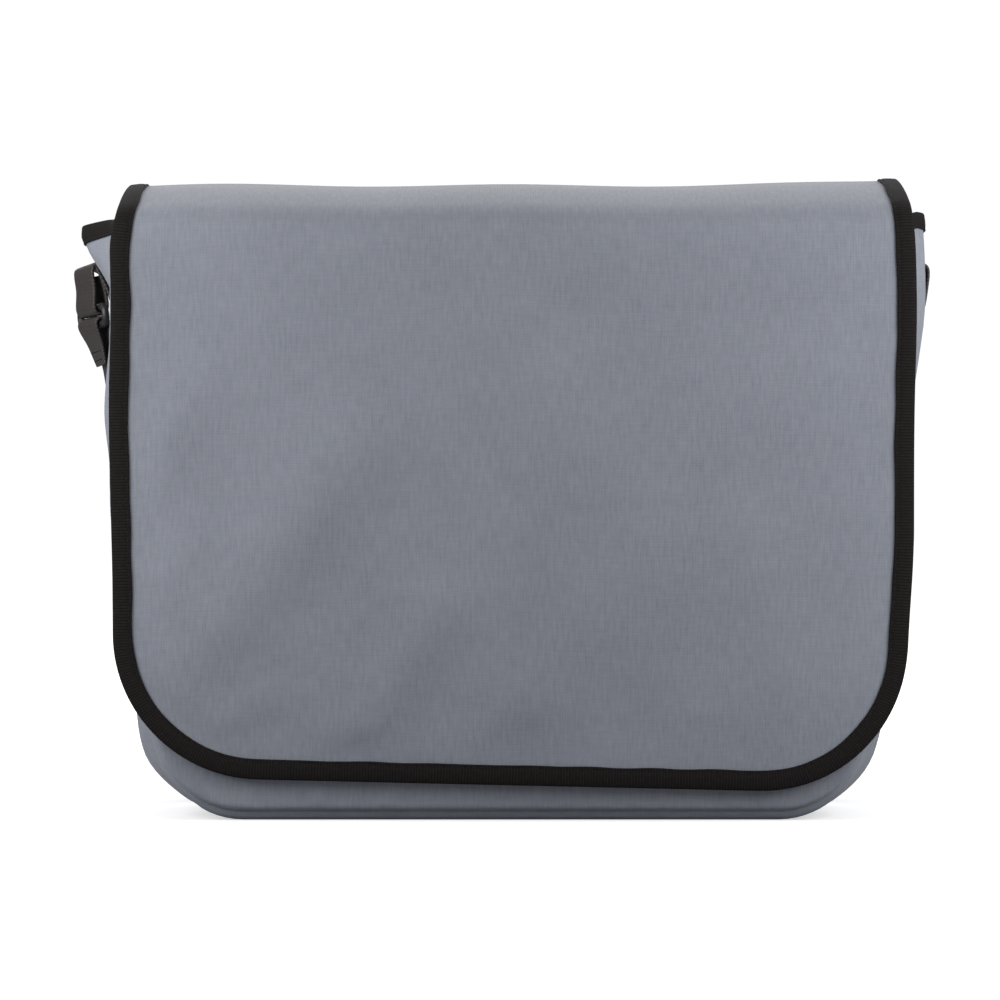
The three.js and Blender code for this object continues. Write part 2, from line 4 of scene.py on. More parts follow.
import bpy
import numpy as np
from mathutils.bvhtree import BVHTree
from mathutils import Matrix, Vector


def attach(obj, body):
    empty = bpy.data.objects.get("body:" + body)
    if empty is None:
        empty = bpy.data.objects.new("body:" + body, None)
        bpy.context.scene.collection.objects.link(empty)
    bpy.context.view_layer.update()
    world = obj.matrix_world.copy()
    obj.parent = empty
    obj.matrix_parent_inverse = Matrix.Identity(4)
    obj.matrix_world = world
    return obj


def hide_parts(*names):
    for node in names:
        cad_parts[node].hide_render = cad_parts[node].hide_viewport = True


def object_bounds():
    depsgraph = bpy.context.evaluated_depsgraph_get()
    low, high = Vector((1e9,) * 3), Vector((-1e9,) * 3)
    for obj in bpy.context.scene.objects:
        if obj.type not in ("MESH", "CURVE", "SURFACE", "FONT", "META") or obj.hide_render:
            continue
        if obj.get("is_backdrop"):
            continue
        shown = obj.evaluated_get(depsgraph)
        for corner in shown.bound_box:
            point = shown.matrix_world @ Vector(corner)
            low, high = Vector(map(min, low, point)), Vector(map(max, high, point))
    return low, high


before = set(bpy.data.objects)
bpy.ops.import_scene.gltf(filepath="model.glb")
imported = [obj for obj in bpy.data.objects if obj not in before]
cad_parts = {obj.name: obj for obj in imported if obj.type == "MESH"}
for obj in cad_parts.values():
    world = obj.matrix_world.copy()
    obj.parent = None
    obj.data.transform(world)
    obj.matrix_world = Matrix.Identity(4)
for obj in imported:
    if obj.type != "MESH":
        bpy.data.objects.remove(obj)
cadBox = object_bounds()
print("frame loaded:", len(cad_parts), "nodes")

# Sizes are millimetres until a mesh is made. The front of the bag faces -Y.
toMetres = 0.001
stock = SimpleNamespace(cloth=1.6, tape=0.9, webbing=1.72, webbingWidth=38, gap=0.35, cutRounding=0.3)
draws = SimpleNamespace(front=11, back=23, gussetSag=31, gussetSeam=37, flap=47, flapTape=53, mouthTape=61)


def smooth(value, low, high):
    share = np.clip((value - low) / (high - low), 0, 1)
    return share * share * (3 - 2 * share)


def ripple(u, v, length, seed):  # soft waves about one length apart, roughly -1 to 1
    count = 9
    shortest = 0.7  # the waves run from this share of the length to twice it
    total = 0
    for turn, phase, stretch in np.random.default_rng(seed).random((count, 3)):
        spacing = 2 * math.pi / (length * shortest * (1 + stretch))
        across = u * math.cos(math.pi * turn) + v * math.sin(math.pi * turn)
        total = total + np.sin(spacing * across + 2 * math.pi * phase)
    return 2 * total / count


def bySide(pair, x):  # the left or the right value
    return np.where(x < 0, *pair)


def joined(*parts):  # coordinates side by side, with single values spread out
    return np.stack(np.broadcast_arrays(*parts), axis=-1)


def unit(vectors):
    return vectors / np.maximum(np.linalg.norm(vectors, axis=-1, keepdims=True), 1e-9)


def runLength(points):  # distance along a line of points, from its start
    hops = np.linalg.norm(np.diff(points, axis=0), axis=-1)
    return np.concatenate([np.zeros((1,) + hops.shape[1:]), np.cumsum(hops, axis=0)])


def smoothLine(points, stations):  # centripetal curve through points, at stations counted in points
    points = np.asarray(points, dtype=float)
    padded = np.concatenate([[2 * points[0] - points[1]], points, [2 * points[-1] - points[-2]]])
    piece = np.minimum(stations.astype(int), len(points) - 2)
    share = (stations - piece)[:, None]
    p0, p1, p2, p3 = (padded[piece + k] for k in range(4))

    def spacing(a, b):
        return np.maximum(np.linalg.norm(b - a, axis=-1, keepdims=True) ** 0.5, 1e-4)

    d0 = spacing(p0, p1)
    d1 = spacing(p1, p2)
    d2 = spacing(p2, p3)
    start = ((p1 - p0) / d0 - (p2 - p0) / (d0 + d1) + (p2 - p1) / d1) * d1
    end = ((p2 - p1) / d1 - (p3 - p1) / (d1 + d2) + (p3 - p2) / d2) * d1
    square = -3 * p1 + 3 * p2 - 2 * start - end
    cube = 2 * p1 - 2 * p2 + start + end
    return p1 + start * share + square * share ** 2 + cube * share ** 3


def edgeFine(half, spacing):  # shares from -1 to 1, closer at both edges
    fine = np.array([0, 0.7, 1.6, 2.8, 4.4, 6.5])
    count = max(2, int(round(2 * (half - fine[-1]) / spacing)))
    inner = np.linspace(-half + fine[-1], half - fine[-1], count + 1)[1:-1]
    return np.concatenate([-half + fine, inner, (half - fine)[::-1]]) / half


# Colours and nodes

def linear(hexColour):
    channels = [int(hexColour[k:k + 2], 16) / 255 for k in (1, 3, 5)]
    bent = [c / 12.92 if c <= 0.04045 else ((c + 0.055) / 1.055) ** 2.4 for c in channels]
    return (*bent, 1.0)


def addNode(tree, kind, inputs=None, **settings):
    node = tree.nodes.new(kind)
    for name, value in settings.items():
        setattr(node, name, value)
    for key, value in (inputs or {}).items():
        if isinstance(value, bpy.types.NodeSocket):
            tree.links.new(value, node.inputs[key])
        else:
            node.inputs[key].default_value = value
    return node


def newMaterial(name, **shader):
    material = bpy.data.materials.new(name)
    material.use_nodes = True
    surface = material.node_tree.nodes["Principled BSDF"]
    for key, value in shader.items():
        surface.inputs[key.replace("_", " ")].default_value = value
    return material, material.node_tree, surface


def combine(tree, operation, *values, kind="ShaderNodeMath"):
    return addNode(tree, kind, dict(enumerate(values)), operation=operation).outputs[0]


def combineVectors(tree, operation, *values):
    return combine(tree, operation, *values, kind="ShaderNodeVectorMath")


def mapRange(tree, value, given, wanted, **settings):
    limits = {1: given[0], 2: given[1], 3: wanted[0], 4: wanted[1]}
    return addNode(tree, "ShaderNodeMapRange", {0: value, **limits}, **settings).outputs[0]


def noise(tree, place, scale, detail, roughness=0.5):
    inputs = {"Vector": place, "Scale": scale, "Detail": detail, "Roughness": roughness}
    return addNode(tree, "ShaderNodeTexNoise", inputs).outputs


def stretched(tree, place, wide, long):  # place on the cut cloth, counted in a width and a length
    size = (1 / (wide * toMetres), 1 / (long * toMetres), 1)
    return combineVectors(tree, "MULTIPLY", place, size)


def ridges(tree, way, pitch):  # rounded yarns side by side
    wave = combine(tree, "MULTIPLY", way, math.pi / pitch)
    return combine(tree, "ABSOLUTE", combine(tree, "SINE", wave))


def tintBetween(tree, surface, share, look):
    ends = {6: linear(look.dark), 7: linear(look.light)}
    colour = addNode(tree, "ShaderNodeMix", {0: share, **ends}, data_type="RGBA")
    tree.links.new(colour.outputs[2], surface.inputs["Base Color"])


def raiseGrain(tree, surface, height, look):
    relief = {"Strength": look.bump, "Distance": look.relief * toMetres, "Height": height}
    tree.links.new(addNode(tree, "ShaderNodeBump", relief).outputs[0], surface.inputs["Normal"])


def roughBetween(tree, surface, share, look):
    rough = mapRange(tree, share, (0, 1), (look.roughLow, look.roughHigh))
    tree.links.new(rough, surface.inputs["Roughness"])


# Plain-woven polyester, coated behind: matte, crossed threads with painted shade between them, thick and thin
# yarns and faint cloudy dye
def wovenPolyester():
    look = SimpleNamespace(
        threadPitch=1.3,  # real threads are about 0.7 mm apart, drawn coarser so that they show
        threadShade=0.22,
        wander=0.55,
        wanderScale=0.35,
        light="#8f939c",
        dark="#71757f",
        cloudSize=55,
        cloudShade=0.09,
        yarnWidth=1.4,
        yarnRun=10,
        warpShade=0.17,
        weftShade=0.08,
        midNoise=(0.3, 0.7),  # where most of a noise lies
        roughLow=0.86,
        roughHigh=0.7,  # on top of the threads
        bump=0.2,
        relief=0.4,
    )
    material, tree, surface = newMaterial(
        "wovenPolyester", IOR=1.5, Specular_IOR_Level=0.32, Sheen_Weight=0.12, Sheen_Roughness=0.45
    )
    place = addNode(tree, "ShaderNodeTexCoord").outputs["UV"]
    thread = stretched(tree, place, look.threadPitch, look.threadPitch)
    wander = noise(tree, thread, look.wanderScale, detail=1)["Color"]
    wander = combineVectors(tree, "MULTIPLY", wander, (look.wander, look.wander, 0))
    moved = combineVectors(tree, "ADD", thread, wander)
    parts = addNode(tree, "ShaderNodeSeparateXYZ", {0: moved}).outputs
    over = addNode(tree, "ShaderNodeTexChecker", {"Vector": moved, "Scale": 1.0}).outputs["Fac"]
    # the threads are painted paler on top and darker between them, as painted highlight and painted shade
    threads = {2: ridges(tree, parts["X"], 1), 3: ridges(tree, parts["Y"], 1)}
    weave = addNode(tree, "ShaderNodeMix", {0: over, **threads}, data_type="FLOAT").outputs[0]
    faint = look.threadShade / 2
    shade = mapRange(tree, weave, (0, 1), (0.5 - faint, 0.5 + faint))
    warp = stretched(tree, place, look.yarnWidth, look.yarnRun)
    weft = stretched(tree, place, look.yarnRun, look.yarnWidth)
    clouds = noise(tree, place, 1 / (look.cloudSize * toMetres), detail=3, roughness=0.6)["Fac"]
    uneven = [
        (noise(tree, warp, scale=1, detail=2)["Fac"], look.warpShade),
        (noise(tree, weft, scale=1, detail=2)["Fac"], look.weftShade),
        (clouds, look.cloudShade),
    ]
    for value, depth in uneven:
        shade = combine(tree, "ADD", shade, mapRange(tree, value, look.midNoise, (-depth, depth)))
    tintBetween(tree, surface, shade, look)
    roughBetween(tree, surface, weave, look)
    raiseGrain(tree, surface, shade, look)
    return material


def yarnPaintedShade(tree, surface, way, fleck, look):  # painted shade between its yarns and painted highlight on their tops, made uneven by flecks
    height = combine(tree, "MULTIPLY", ridges(tree, way, look.pitch * toMetres), fleck)
    tintBetween(tree, surface, mapRange(tree, height, look.shadeRange, (0, 1)), look)
    raiseGrain(tree, surface, height, look)


# Grosgrain polyester tape: close cross ribs, brown-black, with painted highlight where the ribs stand up and
# painted shade between them
def grosgrainTape():
    look = SimpleNamespace(
        pitch=1.5,  # real ribs are about 0.5 mm apart, drawn coarser so that they show
        light="#24201f",
        dark="#0e0c0b",
        shadeRange=(0.05, 0.7),
        fleckSize=2.4,
        bump=0.5,
        relief=0.4,
    )
    material, tree, surface = newMaterial("grosgrainTape", Roughness=0.85, IOR=1.5, Specular_IOR_Level=0.15)
    place = addNode(tree, "ShaderNodeTexCoord").outputs["UV"]
    along = addNode(tree, "ShaderNodeSeparateXYZ", {0: place}).outputs["X"]
    fleck = noise(tree, place, 1 / (look.fleckSize * toMetres), detail=4, roughness=0.65)["Fac"]
    yarnPaintedShade(tree, surface, along, fleck, look)
    return material


# Polypropylene webbing: herringbone of flat shiny yarns, greyer where light grazes it, drawn as painted
# highlight on the yarn tops and painted shade between them
def polypropyleneWebbing():
    look = SimpleNamespace(
        boneWidth=3.2,
        pitch=2.0,  # real yarns are about 1 mm apart, drawn coarser so that they show
        light="#453d3c",
        dark="#171413",
        shadeRange=(0.05, 0.7),
        flecksPerMetre=700,
        bump=0.6,
        relief=0.5,
    )
    material, tree, surface = newMaterial(
        "polypropyleneWebbing", Roughness=0.55, IOR=1.49, Specular_IOR_Level=0.45
    )
    place = addNode(tree, "ShaderNodeTexCoord").outputs["UV"]
    parts = addNode(tree, "ShaderNodeSeparateXYZ", {0: place}).outputs
    bone = combine(tree, "PINGPONG", parts["Y"], look.boneWidth * toMetres)
    fleck = noise(tree, place, look.flecksPerMetre, detail=3)["Fac"]
    yarnPaintedShade(tree, surface, combine(tree, "ADD", parts["X"], bone), fleck, look)
    return material


# Injection-moulded black acetal: satin with a fine spark-eroded grain, rubbed a little paler in places
def mouldedAcetal():
    look = SimpleNamespace(
        light="#2c2b2b",
        dark="#161617",
        rubSize=9,
        rubRange=(0.35, 0.75),
        roughLow=0.36,
        roughHigh=0.5,
        grainSize=0.5,
        bump=0.15,
        relief=0.1,
    )
    material, tree, surface = newMaterial("mouldedAcetal", IOR=1.48)
    place = addNode(tree, "ShaderNodeTexCoord").outputs["Object"]
    grain = noise(tree, place, 1 / (look.grainSize * toMetres), detail=2)["Fac"]
    rub = noise(tree, place, 1 / (look.rubSize * toMetres), detail=4)["Fac"]
    tintBetween(tree, surface, mapRange(tree, rub, look.rubRange, (0, 1)), look)
    roughBetween(tree, surface, rub, look)
    raiseGrain(tree, surface, grain, look)
    return material


# Twisted polyester sewing thread: slightly glossy, each stitch shaded by its twist
def sewingThread(name, light, dark):
    look = SimpleNamespace(light=light, dark=dark, twistsPerMetre=900)
    material, tree, surface = newMaterial(name, Roughness=0.7, IOR=1.5, Specular_IOR_Level=0.2)
    place = addNode(tree, "ShaderNodeTexCoord").outputs["Object"]
    tintBetween(tree, surface, noise(tree, place, look.twistsPerMetre, detail=2)["Fac"], look)
    return material


clothFinish = wovenPolyester()
tapeFinish = grosgrainTape()
webbingFinish = polypropyleneWebbing()
plasticFinish = mouldedAcetal()
blackThread = sewingThread("blackThread", "#221f1e", "#0f0d0d")
greyThread = sewingThread("greyThread", "#7d8288", "#5f646a")
print("materials made")


# Meshes

def placeObject(name, data):
    placed = bpy.data.objects.new(name, data)
    bpy.context.collection.objects.link(placed)
    return placed


def makePiece(node, points, faces, uvs, material):
    sharpAngle = 50  # edges turned further than this stay sharp
    name = node + "_sewn"
    mesh = bpy.data.meshes.new(name)
    mesh.from_pydata((np.asarray(points) * toMetres).tolist(), [], faces)
    if uvs is not None:
        layer = mesh.uv_layers.new(name="cut")
        corners = np.zeros(len(mesh.loops), dtype=np.int32)
        mesh.loops.foreach_get("vertex_index", corners)
        layer.data.foreach_set("uv", (np.asarray(uvs) * toMetres)[corners].ravel())
    mesh.materials.append(material)
    mesh.shade_smooth()
    mesh.set_sharp_from_angle(angle=math.radians(sharpAngle))
    mesh.validate()
    piece = placeObject(name, mesh)
    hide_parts(node)
    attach(piece, "root")
    return piece


def gridFaces(rows, columns, start=0, flip=False):
    at = start + np.arange(rows * columns).reshape(rows, columns)
    quads = joined(at[:-1, :-1], at[1:, :-1], at[1:, 1:], at[:-1, 1:]).reshape(-1, 4)
    return (quads[:, ::-1] if flip else quads).tolist()


def gridNormals(grid):
    return unit(np.cross(np.gradient(grid, axis=0), np.gradient(grid, axis=1)))


# Closed cloth wall from a grid of points on its outer face, with its cut edges a little rounded
def clothPiece(name, outer, cut):
    rows, columns, _ = outer.shape
    normals = gridNormals(outer)
    rounding = np.zeros((rows, columns, 1))
    rounding[[0, -1], :] = stock.cutRounding
    rounding[:, [0, -1]] = stock.cutRounding
    face = outer - normals * stock.cloth * rounding
    behind = outer - normals * stock.cloth * (1 - rounding)
    count = rows * columns
    at = np.arange(count).reshape(rows, columns)
    rim = np.concatenate([at[:-1, 0], at[-1, :-1], at[:0:-1, -1], at[0, :0:-1]])
    after = np.roll(rim, -1)
    edge = joined(rim, rim + count, after + count, after).tolist()
    faces = gridFaces(rows, columns) + gridFaces(rows, columns, count, flip=True) + edge
    points = np.concatenate([face.reshape(-1, 3), behind.reshape(-1, 3)])
    uvs = np.tile(cut.reshape(-1, 2), (2, 1))
    return makePiece(name, points, faces, uvs, clothFinish), face, behind


# Closed tube of sections along a run, with its two ends capped
def tubePiece(name, sections, cut, material):
    count, sides, _ = sections.shape
    at = np.arange(count * sides).reshape(count, sides)
    closed = np.concatenate([at, at[:, :1]], axis=1)
    faces = joined(closed[:-1, :-1], closed[:-1, 1:], closed[1:, 1:], closed[1:, :-1]).reshape(-1, 4).tolist()
    faces += [at[0, ::-1].tolist(), at[-1].tolist()]
    makePiece(name, sections.reshape(-1, 3), faces, cut.reshape(-1, 2), material)


# Body: outline of the front and back panels, and how far each wall swells

body = SimpleNamespace(
    halfWidth=202,
    halfDepth=54,
    mouthHeight=304,
    seamHeight=4.5,
    baseHalf=135,
    cornerRadius=45,
    cornerTurn=math.radians(70),
    frontSwell=7,
    backSwell=4,
    sideSwell=3,
    baseFlat=0.88,
    leanHeight=255,
    swellPower=0.7,
    wave=0.7,
    waveLength=85,
    waveFrom=8,
    waveFull=40,
    gridStep=4.5,
    cornerRows=3,  # more rows than the step gives, round each corner
)
seam = SimpleNamespace(
    tuck=2.1,
    reach=3.2,
    inset=0.8,
    pucker=0.3,
    puckerLength=13,
    puckerFrom=0.5,
    puckerFull=4,
    puckerReach=20,
)
flapCut = SimpleNamespace(
    halfWidth=200.4,
    lapBottom=290,
    crestY=15,
    crestHeight=324.7,
    rollHeight=270,
    bottom=19.7,
    radius=(71, 73),  # on the left and the right, as in the next four
    taper=(2.5, 3.2),
    taperFrom=(230, 150),
    taperTo=(90, 80),
    narrow=(3.4, 0.8),
    narrowFrom=285,
    narrowTo=312,
    sway=1.4,
    swayHeight=258,
    swayTall=40,
    standoff=3.2,
    bottomSlope=0.0227,
    crestRise=1.2,
    crestTilt=1.7,
    crestWave=0.7,
    crestWaveLength=150,
    bindingFrom=306,
    sideTape=8.6,
    bottomTape=8.9,
    tapeTurn=(0.2, 0.9),  # how far down the edge faces where the tape widens
    tapeClearance=0.3,
    foldFadeFrom=12,
    foldFadeTo=32,
    ripple=0.45,
    rippleLength=70,
)

cornerEndX = body.baseHalf + body.cornerRadius * math.sin(body.cornerTurn)
cornerEndZ = body.seamHeight + body.cornerRadius * (1 - math.cos(body.cornerTurn))
flankRadius = (body.halfWidth - cornerEndX) / (1 - math.sin(body.cornerTurn))
flankTop = cornerEndZ + flankRadius * math.cos(body.cornerTurn)


def sideStations():  # x, z and turn of the outward normal, from the flat base up to the mouth
    step = body.gridStep
    cornerSteps = int(body.cornerRadius * body.cornerTurn / step) + body.cornerRows
    corner = np.linspace(0, body.cornerTurn, cornerSteps)
    flankSteps = int(flankRadius * (math.pi / 2 - body.cornerTurn) / step)
    flank = np.linspace(body.cornerTurn, math.pi / 2, flankSteps)[1:]
    upright = np.arange(body.mouthHeight, flankTop + 1, -step)[::-1]
    x = np.concatenate([
        body.baseHalf + body.cornerRadius * np.sin(corner),
        body.halfWidth - flankRadius * (1 - np.sin(flank)),
        np.full(len(upright), body.halfWidth),
    ])
    z = np.concatenate([
        body.seamHeight + body.cornerRadius * (1 - np.cos(corner)),
        flankTop - flankRadius * np.cos(flank),
        upright,
    ])
    turn = np.concatenate([corner, flank, np.full(len(upright), math.pi / 2)])
    return x, z, turn


def outlineHalf(z):
    z = np.asarray(z, dtype=float)
    drop = np.clip(flankTop - z, 0, flankRadius)
    flank = body.halfWidth - flankRadius + np.sqrt(flankRadius ** 2 - drop ** 2)
    below = np.clip(body.seamHeight + body.cornerRadius - z, 0, body.cornerRadius)
    corner = body.baseHalf + np.sqrt(body.cornerRadius ** 2 - below ** 2)
    return np.where(z >= flankTop, body.halfWidth, np.where(z >= cornerEndZ, flank, corner))


def swellShare(x, z):
    across = np.maximum(0, 1 - (x / outlineHalf(z)) ** 2)
    up = np.clip((z - body.seamHeight) / (body.mouthHeight - body.seamHeight), 0, 1)
    return across * np.sin(math.pi * up) ** body.swellPower


def frontY(x, z, standoff):  # outer face of the front: upright below, leaning back under the flap
    low = np.minimum(z, body.leanHeight)
    reach = flapCut.crestY + body.halfDepth + body.frontSwell * swellShare(x, low) + standoff
    rise = flapCut.crestHeight - body.leanHeight - flapCut.standoff - stock.cloth + standoff
    lean = np.clip((z - body.leanHeight) / rise, 0, 1)
    return flapCut.crestY - reach * np.sqrt(1 - lean ** 2)


def backY(x, z):
    return body.halfDepth + body.backSwell * swellShare(x, z)


def seamDistance(x, z):  # from a panel's edge, inwards
    side = np.abs(x)
    cornerZ = body.seamHeight + body.cornerRadius
    straight = np.minimum(outlineHalf(z) - side, z - body.seamHeight)
    rounded = body.cornerRadius - np.hypot(side - body.baseHalf, cornerZ - z)
    inCorner = (side > body.baseHalf) & (z < cornerEndZ)
    return np.maximum(0, np.where(inCorner, rounded, straight))


def seamDip(distance):  # share of the tuck, 1 in the seam and 0 past its reach
    return np.clip(1 - distance / seam.reach, 0, 1) ** 2


def seamPucker(u, v, distance, seed):  # small gathers beside a seam
    gather = ripple(u, v, seam.puckerLength, seed) * seam.pucker
    fade = 1 - smooth(distance, seam.puckerFull, seam.puckerReach)
    return gather * fade * smooth(distance, seam.puckerFrom, seam.puckerFull)


# A panel's face, drawn into its seams and puckered along them
def panelGrid(shares, faceY, inward, seed):
    x, z, turn = sideStations()
    gridX, gridZ = np.broadcast_arrays(shares * x[:, None], z[:, None])
    distance = seamDistance(gridX, gridZ)
    dip = seamDip(distance)
    pucker = seamPucker(gridX, gridZ, distance, seed)
    wave = ripple(gridX, gridZ, body.waveLength, seed + 1) * body.wave
    wave = wave * smooth(distance, body.waveFrom, body.waveFull)
    gridY = faceY(gridX, gridZ) + inward * (seam.tuck * dip + pucker + wave)
    inset = seam.inset * dip
    movedX = gridX - np.sign(gridX) * np.sin(turn)[:, None] * inset
    movedZ = gridZ + np.cos(turn)[:, None] * inset
    return joined(movedX, gridY, movedZ)


def panelPiece(name, grid):
    piece, face, behind = clothPiece(name, grid, grid[..., [0, 2]])
    return face, behind


panelShares = edgeFine(body.halfWidth, body.gridStep)
frontGrid = panelGrid(panelShares[::-1], lambda x, z: frontY(x, z, 0), 1, draws.front)
frontFace, frontBehind = panelPiece("front_panel", frontGrid)
panelPiece("back_panel", panelGrid(panelShares, backY, -1, draws.back))
print("front and back panels made")


# Gusset: share runs from -1 at the back seam to 1 at the front seam

mouthFlare = SimpleNamespace(  # at the left and the right end of the mouth
    reach=(16.6, 8.3),
    low=(262, 190),
    high=(302, 267),
    middle=(0, 0.4),
    span=(1, 0.6),
    lift=(-1.8, 3.8),
    liftEnds=(1, 0.35),
)
gussetLook = SimpleNamespace(
    cornerTrim=1,
    cornerTrimFrom=0.6,
    cornerTrimTall=12,
    seamLap=1.0,  # how far its edges are sewn into the edges of the panels
    levelEdge=0.06,
    bulgeFull=0.3,
    sag=0.9,
    sagLength=60,
    sagFrom=1,
    sagFull=12,
    sagTop=(205, 225),  # flat above, where the tabs are sewn
    waveSpan=50,
    sidesApart=400,  # so that its two sides do not sag alike
    creaseFade=5,
)
# soft bulges: side, height and share of the middle, half height, half share and reach
gussetBulges = [(-1, 208, 0.58, 30, 0.24, 3.6), (-1, 35, 0.55, 30, 0.4, 8.4), (1, 35, 0.55, 30, 0.4, 7)]
# creases in the gusset: side, height and share of the middle, half length up and across, turn and depth
gussetCreases = [
    (-1, 9, 0.8, 9, 2.4, 62, 1.3),
    (-1, 16, 0.86, 8, 2.0, 50, 0.8),
    (-1, 190, 0.1, 60, 9, 4, 1.6),
    (-1, 110, -0.45, 45, 7, -12, 1.1),
    (1, 150, -0.2, 70, 9, -5, 1.5),
    (1, 80, 0.35, 35, 6, 14, 1.0),
]


def gussetEdges(z):
    edge = body.halfWidth
    probe = 0.5
    lean = (frontY(edge, z, 0) - frontY(edge, z - probe, 0)) / probe
    wall = stock.cloth - gussetLook.seamLap
    front = frontY(edge, z, 0) + wall * np.hypot(1, lean) + seam.tuck
    back = body.halfDepth - wall - seam.tuck
    return front, np.full_like(front, back)


def bow(share, full=1):  # a soft hump from -1 to 1 that leaves both ends level
    return smooth(1 - np.abs(share), gussetLook.levelEdge, full)


def gussetPoints(x, z, turn, share):
    side = np.sign(x)
    front, back = gussetEdges(z)
    depth = back - front
    distance = (1 - np.abs(share)) * depth / 2
    upright = np.sin(turn) ** 2
    flareLow = bySide(mouthFlare.low, x)
    flareBow = bow((share - bySide(mouthFlare.middle, x)) / bySide(mouthFlare.span, x))
    out = bySide(mouthFlare.reach, x) * smooth(z, flareLow, bySide(mouthFlare.high, x)) * flareBow
    out = out + body.sideSwell * upright * bow(share)
    flat = np.sqrt(1 - np.clip((np.abs(share) - body.baseFlat) / (1 - body.baseFlat), 0, 1) ** 2)
    out = out + body.seamHeight * flat * np.cos(turn) ** 2
    out = out - seam.tuck * seamDip(distance)
    for onSide, height, middle, tall, wide, reach in gussetBulges:
        up = (z - height) / tall
        across = (share - middle) / wide
        level = bow(share, gussetLook.bulgeFull) * upright * (side == onSide)
        out = out + reach * level * np.exp(-up ** 2 - across ** 2)
    span = share * gussetLook.waveSpan
    apart = z + side * gussetLook.sidesApart
    sag = ripple(span, apart, gussetLook.sagLength, draws.gussetSag) * gussetLook.sag
    sag = sag * smooth(distance, gussetLook.sagFrom, gussetLook.sagFull)
    out = out + sag * upright * (1 - smooth(z, *gussetLook.sagTop))
    out = out + seamPucker(span, z + x, distance, draws.gussetSeam) * upright
    for onSide, height, middle, long, wide, turned, dent in gussetCreases:
        up = z - height
        across = (share - middle) * depth / 2
        lean = math.radians(turned)
        along = up * math.cos(lean) + across * math.sin(lean)
        away = across * math.cos(lean) - up * math.sin(lean)
        form = np.exp(-(along / long) ** 2 - (away / wide) ** 2)
        fade = smooth(distance, 0, gussetLook.creaseFade) * (side == onSide)
        out = out - dent * form * fade
    y = back + (front - back) * (share + 1) / 2
    lift = bySide(mouthFlare.lift, x) * bow(share, bySide(mouthFlare.liftEnds, x))
    lift = lift * smooth(z, flareLow, body.mouthHeight)
    trim = gussetLook.cornerTrim * smooth(share, gussetLook.cornerTrimFrom, 1)
    trim = trim * smooth(z, body.mouthHeight - gussetLook.cornerTrimTall, body.mouthHeight)
    return joined(x + side * np.sin(turn) * out, y, z - np.cos(turn) * out + lift - trim)


def gussetGrid(shares):
    x, z, turn = sideStations()
    baseSteps = int(2 * body.baseHalf / body.gridStep) + 1
    base = np.linspace(-body.baseHalf, body.baseHalf, baseSteps)[1:-1]
    runX = np.concatenate([-x[::-1], base, x])
    runZ = np.concatenate([z[::-1], np.full(len(base), body.seamHeight), z])
    runTurn = np.concatenate([turn[::-1], np.zeros(len(base)), turn])
    return gussetPoints(*np.broadcast_arrays(runX[:, None], runZ[:, None], runTurn[:, None], shares))


gussetShares = edgeFine(body.halfDepth, body.gridStep)
sideGrid = gussetGrid(gussetShares)
gussetRun = runLength(sideGrid[:, len(gussetShares) // 2])
cut = np.stack(np.meshgrid(gussetShares * body.halfDepth, gussetRun), axis=-1)
gusset, gussetFace, gussetBehind = clothPiece("gusset", sideGrid, cut)
print("gusset made")


# Flap: sewn to the back panel, rolled over the mouth and hanging down the front

# soft folds in its front, each a ridge (or a valley, below zero) along a straight line:
# x and z of its start, x and z of its end, spread and height
flapFolds = [
    (-170, 62, -75, 190, 22, 3.5),
    (-80, 38, -35, 105, 14, 2.1),
    (-150, 45, -125, 62, 10, 1.4),
    (-190, 85, -165, 135, 14, 1.8),
    (-185, 175, -155, 222, 18, 1.7),
    (16, 222, 8, 60, 12, 1.6),
    (-18, 200, 0, 160, 7, -1.2),
]
# its roll from the top of its upright front to its crest: share of the way back and of the way up,
# with a row before and after to set how it leaves
flapRoll = [
    (0, -0.2), (0, 0), (0.003, 0.2), (0.014, 0.4), (0.042, 0.545), (0.125, 0.67),
    (0.335, 0.79), (0.605, 0.9), (0.83, 0.967), (1, 1), (1.16, 0.97),
]
flapRows = SimpleNamespace(lap=6, crown=13, roll=36, drop=42, corner=30)


def flapEdgeDistance(x, z):
    radius = bySide(flapCut.radius, x)
    straightHalf = flapCut.halfWidth - radius
    cornerZ = flapCut.bottom + radius
    rounded = radius - np.hypot(np.abs(x) - straightHalf, cornerZ - z)
    straight = np.minimum(flapCut.halfWidth - np.abs(x), z - flapCut.bottom)
    return np.where((np.abs(x) > straightHalf) & (z < cornerZ), rounded, straight)


def foldHeight(x, z):
    fade = smooth(flapEdgeDistance(x, z), flapCut.foldFadeFrom, flapCut.foldFadeTo)
    total = np.zeros(np.broadcast(x, z).shape)
    for fromX, fromZ, toX, toZ, spread, height in flapFolds:
        wayX = toX - fromX
        wayZ = toZ - fromZ
        offX = x - fromX
        offZ = z - fromZ
        along = np.clip((offX * wayX + offZ * wayZ) / (wayX ** 2 + wayZ ** 2), 0, 1)
        away = np.hypot(offX - along * wayX, offZ - along * wayZ)
        total = total + height * np.exp(-(away / spread) ** 2)
    soft = ripple(x, z, flapCut.rippleLength, draws.flap) * flapCut.ripple
    return (total + soft) * fade


def crestAt(x):
    share = x / flapCut.halfWidth
    ends = flapCut.crestRise * share ** 2 + flapCut.crestTilt * share ** 5
    wave = flapCut.crestWave * np.cos(2 * math.pi * x / flapCut.crestWaveLength)
    return flapCut.crestHeight + ends + wave


